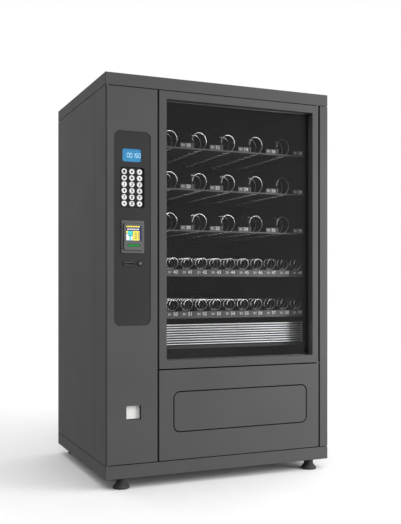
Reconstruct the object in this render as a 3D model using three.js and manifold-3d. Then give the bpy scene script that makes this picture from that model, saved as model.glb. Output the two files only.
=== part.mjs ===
// Snack vending machine: a steel cabinet on four feet, with a payment door on the left, a glazed
// window door on the right, five trays behind the window and a delivery panel with a push flap.
//
// Units are millimetres. The cabinet is laid out from its own corner: x runs from the left side
// to the right, y from the front into the machine, and z up from the underside of the plinth.
// The exported group puts the origin on the floor, under the middle of the whole machine.

import * as THREE from 'three';
import { mergeVertices } from 'three/addons/utils/BufferGeometryUtils.js';
import Module from 'manifold-3d';

const wasm = await Module();
wasm.setup();

// ---------------------------------------------------------------- driving dimensions

const WIDTH = 1128;
const DEPTH = 886;
const HEIGHT = 1782;
const FOOT_HEIGHT = 48;
const READER_PROUD = 8;            // the card reader's bezel stands this far in front of the doors

const SHEET = 2;                   // folded steel of the doors, bands and inner panels
const SKIN = 1.5;                  // thinner steel of the side and back panels
const TOUCH = 0.3;                 // gap between pieces that rest on each other

const PLINTH_TOP = 59.5;
const COVER_BOTTOM = 1727.5;
const PANELS = [62.5, 1724.5];     // bottom and top of everything between the two bands

const PAYMENT_X = [3.6, 241.6];
const PAYMENT_DEPTH = 38;
const WINDOW_X = [249.2, 1077.9];
const WINDOW_Z = [474, 1724.5];
const WINDOW_DEPTH = 58;
const OPENING_X = [285.1, 1043.4];
const OPENING_Z = [511, 1687.5];
const REVEAL_DEPTH = 32.7;         // from the door's face to the glass
const JAMB_X = 1085.8;
const LOWER_Z = [62.5, 468.5];
const SIDE_SEAM_Y = 178.8;

const HINGE_RADIUS = 6;            // rounded hinge edge of both doors
const ROD_RADIUS = 3;
const BORE_RADIUS = 3.5;

const CONTROL_X = [38.9, 208.9];
const CONTROL_Z = [671.6, 1530];
const CONTROL_CORNER = 28;
const CONTROL_FRONT = SHEET + TOUCH;
const CONTROL_BACK = CONTROL_FRONT + 3;
const BEHIND_CONTROL = CONTROL_BACK + TOUCH;

const DISPLAY_X = [78.6, 166.6];
const DISPLAY_Z = [1395.4, 1453.2];

const KEYPAD_X = [65.4, 180.2];
const KEYPAD_Z = [1191.2, 1371.6];
const KEY_FLOOR = 9;               // y of the recessed face that the keys stand in
const KEY_COLUMNS = 3;
const KEY_ROWS = 6;
const KEY_PITCH_X = 35.5;
const KEY_PITCH_Z = 28.3;
const KEY_RADIUS = 12.3;
const KEY_FRONT = 4.5;
const KEY_SIDES = 12;

const READER_X = [72.7, 177.4];
const READER_Z = [991.8, 1135.2];
const READER_BACK = 62;

const COIN_X = [78, 136];
const COIN_Z = 945;
const RETURN_BUTTON = { x: 159.6, z: 947, radius: 11, travel: 4 };
const RETURN_X = [96, 163.5];
const RETURN_Z = [256.5, 318.5];
const COIN_FLAP_AXIS = { y: 17, z: RETURN_Z[1] + 6 };

const FLAP_OPENING_X = [317.4, 1011.4];
const FLAP_OPENING_Z = [184.8, 371.3];
const FLAP_CORNER = 32;
const FLAP_GAP = 5;
const FLAP_AXIS_Y = 5.5;
const FLAP_AXIS_Z = FLAP_OPENING_Z[1] - FLAP_GAP - 6;
const FLAP_BARREL = 5;
const FLAP_ROD = 2.5;
const FLAP_BORE = 3;

const LINER_X = [300, 1069];
const LINER_Z = [555, 1718];
const LINER_BACK = 870;
const LINER_FRONT = 62;
const TRAY_FRONT = 105;
const TRAY_BACK = 742;
const MOTOR_PLATE_Y = 705;

const TRAY_X = [303, 1066];
const RAIL_HEIGHT = 7;
const SNACK_RAILS = [1491, 1298, 1105.4];
const SNACK_LANES = { count: 5, first: 352, pitch: 150.4, radius: 42.2, wire: 2.5, pitchY: 67 };
const SNACK_LABEL = { fromCentre: 40.4, width: 57.4, height: 25 };
const CANDY_STRIPS = [[891, 925], [695, 728]];
const CANDY_FLOOR_DROP = 4;        // how far a candy tray's floor lies under its strip's top edge
const TRAY_BOTTOMS = [
  ...SNACK_RAILS.map((rail) => rail - RAIL_HEIGHT / 2),
  ...CANDY_STRIPS.map((strip) => strip[1] - CANDY_FLOOR_DROP),
];
const CANDY_LANES = { count: 10, first: 367.7, pitch: 73.9, radius: 25.5, wire: 2 };
const SPIRAL_FRONT = 117;
const SPIRAL_BACK = 672;
const SHAFT_LENGTH = 60;

const BIN_X = [300, 1030];
const BIN_Z = [170, 551];
const BIN_BACK = 330;

const FOOT_INSET_X = 84;
const FOOT_INSET_Y = 40;

// ---------------------------------------------------------------- materials

function material(colour, roughness, metalness) {
  return new THREE.MeshStandardMaterial({ color: colour, roughness, metalness });
}

const paint = () => material(0x5a5a5c, 0.45, 0.25);
const darkPaint = () => material(0x3d3d3f, 0.5, 0.2);
const interiorPaint = () => material(0x262628, 0.6, 0.1);
const blackPlastic = () => material(0x1c1c1d, 0.5, 0);
const greyPlastic = () => material(0x565759, 0.45, 0);
const whitePlastic = () => material(0xe6e6e4, 0.4, 0);
const aluminium = () => material(0xb9bbbd, 0.35, 0.9);
const steelWire = () => material(0xd4d6d8, 0.2, 1);
const rubber = () => material(0x222222, 0.8, 0);

function glass() {
  const pane = material(0x8a9499, 0.05, 0);
  pane.transparent = true;
  pane.opacity = 0.2;
  return pane;
}

// ---------------------------------------------------------------- solids

function solid(geometry) {
  const bare = geometry.clone();
  bare.deleteAttribute('normal');
  bare.deleteAttribute('uv');
  const merged = mergeVertices(bare, 1e-4);
  return new wasm.Manifold(new wasm.Mesh({
    numProp: 3,
    vertProperties: new Float32Array(merged.attributes.position.array),
    triVerts: new Uint32Array(merged.index.array),
  }));
}

function geometryOf(body) {
  const mesh = body.getMesh();
  const geometry = new THREE.BufferGeometry();
  geometry.setAttribute('position', new THREE.BufferAttribute(mesh.vertProperties, 3));
  geometry.setIndex(new THREE.BufferAttribute(mesh.triVerts, 1));
  geometry.computeVertexNormals();
  return geometry;
}

function join(...bodies) {
  return bodies.reduce((all, body) => all.add(body));
}

function cut(body, ...tools) {
  return tools.reduce((rest, tool) => rest.subtract(tool), body);
}

function block(x, y, z) {
  const geometry = new THREE.BoxGeometry(x[1] - x[0], y[1] - y[0], z[1] - z[0]);
  geometry.translate((x[0] + x[1]) / 2, (y[0] + y[1]) / 2, (z[0] + z[1]) / 2);
  return solid(geometry);
}

function rodAlongX(x, centreY, centreZ, radius, sides = 16) {
  const geometry = new THREE.CylinderGeometry(radius, radius, x[1] - x[0], sides);
  geometry.rotateZ(Math.PI / 2);
  geometry.translate((x[0] + x[1]) / 2, centreY, centreZ);
  return solid(geometry);
}

function rodAlongY(centreX, y, centreZ, radius, sides = 16) {
  const geometry = new THREE.CylinderGeometry(radius, radius, y[1] - y[0], sides);
  geometry.translate(centreX, (y[0] + y[1]) / 2, centreZ);
  return solid(geometry);
}

function rodAlongZ(centreX, centreY, z, radius, sides = 16) {
  const geometry = new THREE.CylinderGeometry(radius, radius, z[1] - z[0], sides);
  geometry.rotateX(Math.PI / 2);
  geometry.translate(centreX, centreY, (z[0] + z[1]) / 2);
  return solid(geometry);
}

// A plate with rounded corners that faces the front: an outline in x and z, thick along y.
function roundedPlate(x, y, z, corner, arcSteps = 5) {
  const outline = new THREE.Shape();
  outline.absarc(x[1] - corner, z[0] + corner, corner, -Math.PI / 2, 0);
  outline.absarc(x[1] - corner, z[1] - corner, corner, 0, Math.PI / 2);
  outline.absarc(x[0] + corner, z[1] - corner, corner, Math.PI / 2, Math.PI);
  outline.absarc(x[0] + corner, z[0] + corner, corner, Math.PI, Math.PI * 1.5);
  const geometry = new THREE.ExtrudeGeometry(outline, {
    depth: y[1] - y[0], bevelEnabled: false, curveSegments: arcSteps,
  });
  geometry.rotateX(Math.PI / 2);
  geometry.translate(0, y[1], 0);
  return solid(geometry);
}

// A folded pan: a front sheet with four walls behind it, open at the back.
function pan(x, depth, z) {
  const outer = block(x, [0, depth], z);
  const inside = block([x[0] + SHEET, x[1] - SHEET], [SHEET, depth + 1], [z[0] + SHEET, z[1] - SHEET]);
  return cut(outer, inside);
}

// An upright box of sheet, with walls all round and a floor or lid where one is asked for.
function tub(x, y, z, wall, openSide) {
  const inner = {
    x: [x[0] + wall, x[1] - wall],
    y: [y[0] + wall, y[1] - wall],
    z: [z[0] + wall, z[1] - wall],
  };
  if (openSide === 'top') inner.z[1] = z[1] + 1;
  if (openSide === 'bottom') inner.z[0] = z[0] - 1;
  if (openSide === 'front') inner.y[0] = y[0] - 1;
  return cut(block(x, y, z), block(inner.x, inner.y, inner.z));
}

const widened = (range, by) => [range[0] - by, range[1] + by];
const middle = (range) => (range[0] + range[1]) / 2;

// ---------------------------------------------------------------- the group and its parts

const machine = new THREE.Group();
const cabinet = new THREE.Group();
cabinet.position.set(-WIDTH / 2, (READER_PROUD - DEPTH) / 2, FOOT_HEIGHT);
machine.add(cabinet);

const paymentGroup = new THREE.Group();
const windowGroup = new THREE.Group();
const shelfGroup = new THREE.Group();
cabinet.add(paymentGroup, windowGroup, shelfGroup);

function place(group, name, geometry, look) {
  const mesh = new THREE.Mesh(geometry, look);
  mesh.name = name;
  group.add(mesh);
  return mesh;
}

// ---------------------------------------------------------------- cabinet

function basePlinth() {
  const tray = tub([0, WIDTH], [0, DEPTH], [0, PLINTH_TOP + SHEET], SHEET, 'top');
  const trimmed = cut(tray, block([-1, WIDTH + 1], [-1, DEPTH + 1], [PLINTH_TOP, PLINTH_TOP + 9]));
  const hingeSeat = block([1, 40], [1, 40], [PLINTH_TOP - SHEET, PLINTH_TOP]);
  return join(trimmed, hingeSeat);
}

function topCover() {
  const cap = tub([0, WIDTH], [0, DEPTH], [COVER_BOTTOM, HEIGHT], SHEET, 'bottom');
  const seat = [COVER_BOTTOM, COVER_BOTTOM + SHEET];
  const leftSeat = block([1, 40], [1, 40], seat);
  const rightSeat = block([1050, WIDTH - 1], [1, 40], seat);
  return join(cap, leftSeat, rightSeat);
}

// A side sheet with folded edges and the upright seam near its front, drawn for the left side.
function sideSheet() {
  const sheet = block([0, SKIN], [0, DEPTH], PANELS);
  const bottomFold = block([0, 20], [44, DEPTH - 4], [PANELS[0], PANELS[0] + SKIN]);
  const topFold = block([0, 20], [44, DEPTH - 4], [PANELS[1] - SKIN, PANELS[1]]);
  const doorStop = block([0, 22], [42.5, 44], PANELS);
  const seamBacking = block([1, 2 * SKIN], widened([SIDE_SEAM_Y, SIDE_SEAM_Y], 10), PANELS);
  const seam = block([-1, SKIN], widened([SIDE_SEAM_Y, SIDE_SEAM_Y], 1.5), widened(PANELS, 1));
  return cut(join(sheet, bottomFold, topFold, doorStop, seamBacking), seam);
}

function rightSidePanel() {
  const sheet = sideSheet().mirror([1, 0, 0]).translate([WIDTH, 0, 0]);
  const jambFace = block([JAMB_X, WIDTH - 0.5], [0, SKIN], PANELS);
  const jambReturn = block([JAMB_X, JAMB_X + SKIN], [0, WINDOW_DEPTH], PANELS);
  const jambFlange = block([JAMB_X, WIDTH - 0.5], [WINDOW_DEPTH - SKIN, WINDOW_DEPTH], PANELS);
  const hingeBracket = block([WINDOW_X[1] - 2 * HINGE_RADIUS, JAMB_X + 1], [0.8, 12], [469.2, 473.2]);
  return join(sheet, jambFace, jambReturn, jambFlange, hingeBracket);
}

function ventSlots(x, z, count) {
  const slots = [];
  for (let row = 0; row < count; row += 1) {
    const bottom = z + row * 22;
    slots.push(block([x, x + 220], [DEPTH - 5, DEPTH + 5], [bottom, bottom + 9]));
  }
  return slots;
}

function backPanel() {
  const x = [SKIN + TOUCH, WIDTH - SKIN - TOUCH];
  const sheet = block(x, [DEPTH - SKIN, DEPTH], PANELS);
  const folds = [[x[0], x[0] + SKIN], [x[1] - SKIN, x[1]]]
    .map((edge) => block(edge, [DEPTH - 3, DEPTH], PANELS));
  const inletHole = block([149.5, 205.5], [DEPTH - 9, DEPTH + 1], [129.5, 165.5]);
  return cut(join(sheet, ...folds), inletHole, ...ventSlots(700, 150, 8));
}

// The inlet for the mains lead, set into the back panel, with a socket open to the rear.
function mainsInlet() {
  const body = block([150, 205], [DEPTH - 30, DEPTH - 0.5], [130, 165]);
  const socket = block([158, 197], [DEPTH - 22, DEPTH + 1], [137, 158]);
  return cut(body, socket);
}

function columnPartition() {
  return block([243.4, 245.4], [WINDOW_DEPTH + 4, DEPTH - 6], [PLINTH_TOP + TOUCH, COVER_BOTTOM - TOUCH]);
}

function foot() {
  const profile = [
    [0, -FOOT_HEIGHT], [38, -FOOT_HEIGHT], [38, -40], [22.5, -24], [22.5, -TOUCH], [0, -TOUCH],
  ].map(([radius, height]) => new THREE.Vector2(radius, height));
  const geometry = new THREE.LatheGeometry(profile, 16);
  geometry.rotateX(Math.PI / 2);
  return geometryOf(solid(geometry));
}

place(cabinet, 'base_plinth', geometryOf(basePlinth()), paint());
place(cabinet, 'top_cover', geometryOf(topCover()), paint());
place(cabinet, 'left_side_panel', geometryOf(sideSheet()), paint());
place(cabinet, 'right_side_panel', geometryOf(rightSidePanel()), paint());
place(cabinet, 'back_panel', geometryOf(backPanel()), darkPaint());
place(cabinet, 'mains_inlet', geometryOf(mainsInlet()), blackPlastic());
place(cabinet, 'column_partition', geometryOf(columnPartition()), interiorPaint());

const FEET = {
  front_left_foot: [FOOT_INSET_X, FOOT_INSET_Y],
  front_right_foot: [WIDTH - FOOT_INSET_X, FOOT_INSET_Y],
  back_left_foot: [FOOT_INSET_X, DEPTH - FOOT_INSET_Y],
  back_right_foot: [WIDTH - FOOT_INSET_X, DEPTH - FOOT_INSET_Y],
};
for (const [name, [x, y]] of Object.entries(FEET)) {
  place(cabinet, name, foot(), rubber()).position.set(x, y, 0);
}

// ---------------------------------------------------------------- product compartment

// The ledges that carry one tray, on the two side walls of the compartment.
function trayLedges(trayBottom) {
  const z = [trayBottom - 3, trayBottom - TOUCH];
  const y = [130, TRAY_BACK];
  return [block([LINER_X[0] - 1, TRAY_X[0] + 9], y, z), block([TRAY_X[1] - 9, LINER_X[1] + 1], y, z)];
}

function compartmentLiner() {
  const x = widened(LINER_X, SHEET);
  const shell = tub(x, [LINER_FRONT, LINER_BACK + SHEET], widened(LINER_Z, SHEET), SHEET, 'front');
  const dropSlot = block(BIN_X, [LINER_FRONT - 1, TRAY_FRONT + 5], [LINER_Z[0] - 9, LINER_Z[0] + 1]);
  const apron = block(x, [TRAY_FRONT + 5, TRAY_FRONT + 7], [LINER_Z[0] - SHEET, 567]);
  const leftFlange = block([247.5, x[0] + 1], [LINER_FRONT, LINER_FRONT + SHEET], widened(LINER_Z, SHEET));
  const rightFlange = block([x[1] - 1, 1084], [LINER_FRONT, LINER_FRONT + SHEET], widened(LINER_Z, SHEET));
  return join(cut(shell, dropSlot), apron, leftFlange, rightFlange, ...TRAY_BOTTOMS.flatMap(trayLedges));
}

function trayBase(bottom, wallHeight) {
  const floor = block(TRAY_X, [TRAY_FRONT, TRAY_BACK], [bottom, bottom + SKIN]);
  const sides = [[TRAY_X[0], TRAY_X[0] + SKIN], [TRAY_X[1] - SKIN, TRAY_X[1]]]
    .map((edge) => block(edge, [TRAY_FRONT + 5, TRAY_BACK], [bottom, bottom + wallHeight]));
  const motorPlate = block(TRAY_X, [MOTOR_PLATE_Y, MOTOR_PLATE_Y + SKIN], [bottom, bottom + wallHeight + 25]);
  return join(floor, ...sides, motorPlate);
}

// A tray of wide lanes: a low front rail with a label tab and an upright divider at each lane.
function snackTray(rail) {
  const bottom = rail - RAIL_HEIGHT / 2;
  const railTop = rail + RAIL_HEIGHT / 2;
  const front = [TRAY_FRONT, TRAY_FRONT + SKIN];
  let body = join(trayBase(bottom, 32), block([TRAY_X[0], 1057], front, [bottom, railTop]));
  for (let lane = 0; lane < SNACK_LANES.count; lane += 1) {
    const centre = SNACK_LANES.first + lane * SNACK_LANES.pitch;
    const labelLeft = centre + SNACK_LABEL.fromCentre;
    const label = block([labelLeft, labelLeft + SNACK_LABEL.width], front, [bottom, rail + SNACK_LABEL.height]);
    const slot = block(widened([centre, centre], 25), [TRAY_FRONT + 7, 695], [bottom - 1, bottom + 9]);
    const shaftHole = rodAlongY(centre, [MOTOR_PLATE_Y - 5, MOTOR_PLATE_Y + 5], spiralHeight(rail), 6, 8);
    body = cut(join(body, label), slot, shaftHole);
    if (lane < SNACK_LANES.count - 1) {
      const wallX = labelLeft + SNACK_LABEL.width + 3;
      const wall = block([wallX, wallX + SKIN], [TRAY_FRONT, MOTOR_PLATE_Y + 1], [bottom, rail + 28]);
      const wallFlange = block([wallX, wallX + 8], front, [bottom, rail + 28]);
      body = join(body, wall, wallFlange);
    }
  }
  return body;
}

// A tray of narrow lanes: the floor is level with the top of a deep strip that carries the labels.
function candyTray([stripBottom, stripTop]) {
  const bottom = stripTop - CANDY_FLOOR_DROP;
  let body = trayBase(bottom, 32);
  body = join(body, block([TRAY_X[0], 1057], [TRAY_FRONT, TRAY_FRONT + SKIN], [stripBottom, stripTop]));
  for (let lane = 0; lane < CANDY_LANES.count - 1; lane += 1) {
    const wallX = CANDY_LANES.first + (lane + 0.5) * CANDY_LANES.pitch;
    const wall = block([wallX, wallX + SKIN], [TRAY_FRONT + 4, MOTOR_PLATE_Y + 1], [bottom, bottom + 22]);
    body = join(body, wall);
  }
  return body;
}

function spiralHeight(rail) {
  return rail + 41;
}

// The bent wire of one spiral: level turns from the front, then a run in to the drive shaft.
class SpiralWire extends THREE.Curve {
  constructor(radius, pitchY, turns, shaftLength) {
    super();
    Object.assign(this, { radius, pitchY, turns, shaftLength });
    this.arcLengthDivisions = 3000;
  }

  getPoint(t, target = new THREE.Vector3()) {
    const turn = Math.min(t * (this.turns + 1), this.turns + 1);
    const past = Math.max(0, turn - this.turns);
    const inward = THREE.MathUtils.smoothstep(past, 0, 0.45);
    const angle = Math.PI - 2 * Math.PI * (Math.min(turn, this.turns) + 0.4 * inward);
    const radius = this.radius * (1 - inward);
    const y = Math.min(turn, this.turns) * this.pitchY + past * this.shaftLength;
    return target.set(radius * Math.cos(angle), y, radius * Math.sin(angle));
  }
}

function spiralGeometry() {
  const sides = 4;
  const stepsPerTurn = 9;
  const turns = (SPIRAL_BACK - SPIRAL_FRONT) / SNACK_LANES.pitchY;
  const section = new THREE.Shape();
  for (let corner = 0; corner < sides; corner += 1) {
    const angle = (corner / sides) * 2 * Math.PI;
    const point = [SNACK_LANES.wire * Math.cos(angle), SNACK_LANES.wire * Math.sin(angle)];
    if (corner === 0) section.moveTo(...point);
    else section.lineTo(...point);
  }
  return new THREE.ExtrudeGeometry(section, {
    steps: Math.round(stepsPerTurn * (turns + 1)),
    extrudePath: new SpiralWire(SNACK_LANES.radius, SNACK_LANES.pitchY, turns, SHAFT_LENGTH),
    bevelEnabled: false,
  });
}

// A louvred grille of folded aluminium: tilted slats between a top rail, a bottom rail and two ends.
function airGrille() {
  const x = [301, 1048];
  const y = [103, 109];
  const bottom = 568;
  const slats = 9;
  const pitch = 11.3;
  const ends = [[x[0], x[0] + 5], [x[1] - 5, x[1]]].map((end) => block(end, y, [bottom, bottom + slats * pitch]));
  let body = join(...ends);
  for (let row = 0; row < slats; row += 1) {
    const slat = new THREE.BoxGeometry(x[1] - x[0] - 2, SKIN, 8.5);
    slat.rotateX(THREE.MathUtils.degToRad(28));
    slat.translate(middle(x), middle(y), bottom + (row + 0.5) * pitch);
    body = join(body, solid(slat));
  }
  return body;
}

function lightBar() {
  const housing = block([310, 1055], [72, 92], [1696, LINER_Z[1] - TOUCH]);
  const channel = block([312, 1053], [74, 90], [1690, 1700]);
  return cut(housing, channel);
}

place(shelfGroup, 'compartment_liner', geometryOf(compartmentLiner()), interiorPaint());
SNACK_RAILS.forEach((rail, row) => {
  place(shelfGroup, `snack_tray_${row + 1}`, geometryOf(snackTray(rail)), interiorPaint());
});
CANDY_STRIPS.forEach((strip, row) => {
  place(shelfGroup, `candy_tray_${row + 1}`, geometryOf(candyTray(strip)), interiorPaint());
});
for (let lane = 0; lane < SNACK_LANES.count; lane += 1) {
  const spiral = place(shelfGroup, `spiral_${lane + 1}`, spiralGeometry(), steelWire());
  spiral.position.set(SNACK_LANES.first + lane * SNACK_LANES.pitch, SPIRAL_FRONT, spiralHeight(SNACK_RAILS[0]));
}
place(shelfGroup, 'air_grille', geometryOf(airGrille()), aluminium());
place(shelfGroup, 'light_bar', geometryOf(lightBar()), aluminium());

// ---------------------------------------------------------------- window door

const windowHinge = { x: WINDOW_X[1] - HINGE_RADIUS, y: HINGE_RADIUS };

function windowFrame() {
  const leftX = WINDOW_X[0];
  const rightX = windowHinge.x;
  const outer = block([leftX, rightX], [0, WINDOW_DEPTH], WINDOW_Z);
  const cavity = block([leftX + SHEET, rightX - SHEET], [SHEET, WINDOW_DEPTH + 1],
    [WINDOW_Z[0] + SHEET, WINDOW_Z[1] - SHEET]);
  const reveal = block(widened(OPENING_X, SHEET), [0, REVEAL_DEPTH], widened(OPENING_Z, SHEET));
  const opening = block(OPENING_X, [-1, REVEAL_DEPTH + 1], OPENING_Z);
  const hingeEdge = rodAlongZ(windowHinge.x, windowHinge.y, WINDOW_Z, HINGE_RADIUS);
  const bore = rodAlongZ(windowHinge.x, windowHinge.y, widened(WINDOW_Z, 1), BORE_RADIUS, 12);
  return cut(join(cut(outer, cavity), reveal, hingeEdge), opening, bore);
}

function windowGlass() {
  return block(widened(OPENING_X, 8), [REVEAL_DEPTH + TOUCH, REVEAL_DEPTH + TOUCH + 4], widened(OPENING_Z, 8));
}

place(windowGroup, 'window_frame', geometryOf(windowFrame()), paint());
place(windowGroup, 'window_glass', geometryOf(windowGlass()), glass());
place(cabinet, 'window_hinge_rod', geometryOf(rodAlongZ(windowHinge.x, windowHinge.y,
  [473.2 + TOUCH, COVER_BOTTOM - TOUCH], ROD_RADIUS, 12)), steelWire());

// ---------------------------------------------------------------- delivery panel, bin and flap

function deliveryPanel() {
  const sheet = pan(WINDOW_X, 40, LOWER_Z);
  const opening = roundedPlate(FLAP_OPENING_X, [-1, 9], FLAP_OPENING_Z, FLAP_CORNER);
  const brackets = [[303, 311], [1018, 1026]]
    .map((x) => block(x, [1, 14], widened([FLAP_AXIS_Z, FLAP_AXIS_Z], 8)));
  const bore = rodAlongX([300, 1029], FLAP_AXIS_Y, FLAP_AXIS_Z, FLAP_BORE, 12);
  return join(cut(sheet, opening), ...brackets.map((bracket) => cut(bracket, bore)));
}

// The flap hangs from its rod. The bar along its back keeps its weight behind the rod, so it shuts.
function deliveryFlap() {
  const x = widened(FLAP_OPENING_X, -FLAP_GAP);
  const z = widened(FLAP_OPENING_Z, -FLAP_GAP);
  const corner = FLAP_CORNER - FLAP_GAP;
  const plate = roundedPlate(x, [0.5, 2.5], z, corner);
  const weightBar = block(widened(x, -30), [2, 24], [z[0] + 4, z[0] + 18]);
  const barrelX = widened(x, -corner - 2);
  const barrel = rodAlongX(barrelX, FLAP_AXIS_Y, FLAP_AXIS_Z, FLAP_BARREL);
  const web = block(barrelX, [2, FLAP_AXIS_Y], widened([FLAP_AXIS_Z, FLAP_AXIS_Z], FLAP_BARREL));
  const bore = rodAlongX(widened(barrelX, 1), FLAP_AXIS_Y, FLAP_AXIS_Z, FLAP_BORE, 12);
  return cut(join(plate, weightBar, barrel, web), bore);
}

function deliveryBin() {
  const x = widened(BIN_X, SHEET);
  const y = [42, BIN_BACK + SHEET];
  const z = [BIN_Z[0] - SHEET, BIN_Z[1]];
  const walls = cut(block(x, y, z), block(BIN_X, [41, BIN_BACK], [BIN_Z[0], BIN_Z[1] + 1]));
  const clearOfDoor = block(widened(x, 1), [41, WINDOW_DEPTH + 2], [460, BIN_Z[1] + 1]);
  const frontWall = block(x, [WINDOW_DEPTH + 2, WINDOW_DEPTH + 4], [400, 505]);
  return join(cut(walls, clearOfDoor), frontWall);
}

place(cabinet, 'delivery_panel', geometryOf(deliveryPanel()), paint());
place(cabinet, 'delivery_flap', geometryOf(deliveryFlap()), paint());
place(cabinet, 'flap_hinge_rod', geometryOf(rodAlongX([301, 1028], FLAP_AXIS_Y, FLAP_AXIS_Z, FLAP_ROD, 12)),
  steelWire());
place(cabinet, 'delivery_bin', geometryOf(deliveryBin()), interiorPaint());

// ---------------------------------------------------------------- payment door

const paymentHinge = { x: PAYMENT_X[0] + HINGE_RADIUS, y: HINGE_RADIUS };

function paymentDoor() {
  const sheet = pan([paymentHinge.x, PAYMENT_X[1]], PAYMENT_DEPTH, PANELS);
  const hingeEdge = rodAlongZ(paymentHinge.x, paymentHinge.y, PANELS, HINGE_RADIUS);
  const bore = rodAlongZ(paymentHinge.x, paymentHinge.y, widened(PANELS, 1), BORE_RADIUS, 12);
  const controlOpening = roundedPlate(CONTROL_X, [-1, 5], CONTROL_Z, CONTROL_CORNER);
  const returnOpening = roundedPlate(RETURN_X, [-1, 5], RETURN_Z, 3, 2);
  return cut(join(sheet, hingeEdge), bore, controlOpening, returnOpening);
}

function controlPanel() {
  const plate = roundedPlate(widened(CONTROL_X, 8), [CONTROL_FRONT, CONTROL_BACK], widened(CONTROL_Z, 8), 36);
  const through = [0, 9];
  return cut(
    plate,
    roundedPlate(DISPLAY_X, through, DISPLAY_Z, 10, 4),
    roundedPlate(KEYPAD_X, through, KEYPAD_Z, 12, 4),
    block(widened(READER_X, -8), through, widened(READER_Z, -8)),
    block(widened(COIN_X, -5), through, widened([COIN_Z, COIN_Z], 5)),
    rodAlongY(RETURN_BUTTON.x, through, RETURN_BUTTON.z, RETURN_BUTTON.radius + 0.6),
  );
}

function displayModule() {
  return block(widened(DISPLAY_X, 4), [BEHIND_CONTROL, 16], widened(DISPLAY_Z, 4));
}

function keyPositions() {
  const positions = [];
  for (let row = 0; row < KEY_ROWS; row += 1) {
    for (let column = 0; column < KEY_COLUMNS; column += 1) {
      const x = middle(KEYPAD_X) + (column - (KEY_COLUMNS - 1) / 2) * KEY_PITCH_X;
      const z = middle(KEYPAD_Z) - (row - (KEY_ROWS - 1) / 2) * KEY_PITCH_Z;
      positions.push([x, z]);
    }
  }
  return positions;
}

// A shallow dish behind the control panel, with a round hole for each key.
function keypadPlate() {
  const floorBack = KEY_FLOOR + 2;
  const dish = block(widened(KEYPAD_X, 4), [BEHIND_CONTROL, floorBack], widened(KEYPAD_Z, 4));
  const recess = roundedPlate(KEYPAD_X, [BEHIND_CONTROL - 1, KEY_FLOOR], KEYPAD_Z, 12, 4);
  const holes = keyPositions()
    .map(([x, z]) => rodAlongY(x, [0, floorBack + 1], z, KEY_RADIUS + 0.5, KEY_SIDES));
  return cut(dish, recess, ...holes);
}

// A key cap with a wider flange behind the plate, which keeps it from falling out of the front.
function keyGeometry() {
  const flange = [KEY_FLOOR + 2 + TOUCH, KEY_FLOOR + 4];
  const profile = [
    [0, KEY_FRONT], [KEY_RADIUS, KEY_FRONT], [KEY_RADIUS, flange[0]],
    [KEY_RADIUS + 1.3, flange[0]], [KEY_RADIUS + 1.3, flange[1]], [0, flange[1]],
  ].map(([radius, y]) => new THREE.Vector2(radius, y));
  return geometryOf(solid(new THREE.LatheGeometry(profile, KEY_SIDES)));
}

// The reader's bezel in front of the panel and its body behind it, with a screen and a card mouth.
function cardReader() {
  const bezel = roundedPlate(READER_X, [-READER_PROUD, CONTROL_FRONT - TOUCH], READER_Z, 6, 3);
  const body = block(widened(READER_X, -8.5), [CONTROL_FRONT - 1, READER_BACK], widened(READER_Z, -8.5));
  const screen = block([91.5, 165.7], [-READER_PROUD - 1, -READER_PROUD + 3], [1045.2, 1112.7]);
  const mouth = block([97.5, 156.4], [-READER_PROUD - 1, 40], [1021, 1031]);
  return cut(join(bezel, body), screen, mouth);
}

function coinSlot() {
  const z = widened([COIN_Z, COIN_Z], 7);
  const lips = roundedPlate(COIN_X, [-1, CONTROL_FRONT - TOUCH], z, 4, 3);
  const neck = block(widened(COIN_X, -5.5), [0, 14], widened(z, -2.5));
  const slit = block(widened(COIN_X, -9), [-3, 16], widened([COIN_Z, COIN_Z], 2.5));
  return cut(join(lips, neck), slit);
}

// A push button that sinks into its hole, kept in by a wider flange behind the control panel.
function coinReturnButton() {
  const { x, z, radius, travel } = RETURN_BUTTON;
  const cap = rodAlongY(x, [CONTROL_FRONT - travel - 1, BEHIND_CONTROL + 1], z, radius);
  const flange = rodAlongY(x, [BEHIND_CONTROL, BEHIND_CONTROL + 2], z, radius + 2);
  const stem = rodAlongY(x, [BEHIND_CONTROL, 18], z, radius / 2);
  return join(cap, flange, stem);
}

// The cup behind the coin return opening: it holds the flap's pivots and is open above its back half.
function coinReturnCup() {
  const x = widened(RETURN_X, SHEET);
  const z = [RETURN_Z[0] - SHEET, RETURN_Z[1] + 14];
  const cup = tub(x, [SHEET + TOUCH, 90], z, SHEET, 'front');
  const coinInlet = block(RETURN_X, [60, 88], [z[1] - 5, z[1] + 1]);
  const pivotHole = rodAlongX(widened(x, 1), COIN_FLAP_AXIS.y, COIN_FLAP_AXIS.z, 2.4, 12);
  return cut(cup, coinInlet, pivotHole);
}

function coinReturnFlap() {
  const x = widened(RETURN_X, -0.8);
  const { y, z } = COIN_FLAP_AXIS;
  const plate = block(x, [y - 1, y + 2], [RETURN_Z[0] + 1.5, z]);
  const barrel = rodAlongX(x, y, z, 3.2, 12);
  const pivots = rodAlongX(widened(RETURN_X, SHEET), y, z, 2, 12);
  return join(plate, barrel, pivots);
}

// The coin mechanism hangs behind the blank part of the control panel, under the coin slot.
function coinMechanism() {
  const body = block([58, 186], [16, 112], [560, 905]);
  const mountingPlate = block([70, 174], [BEHIND_CONTROL, 17], [700, 900]);
  const funnel = tub([74, 142], [16, 60], [900, 962], SHEET, 'top');
  const feed = block([78, 138], [18.5, 58], [880, 905]);
  return cut(join(body, mountingPlate, funnel), feed);
}

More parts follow.
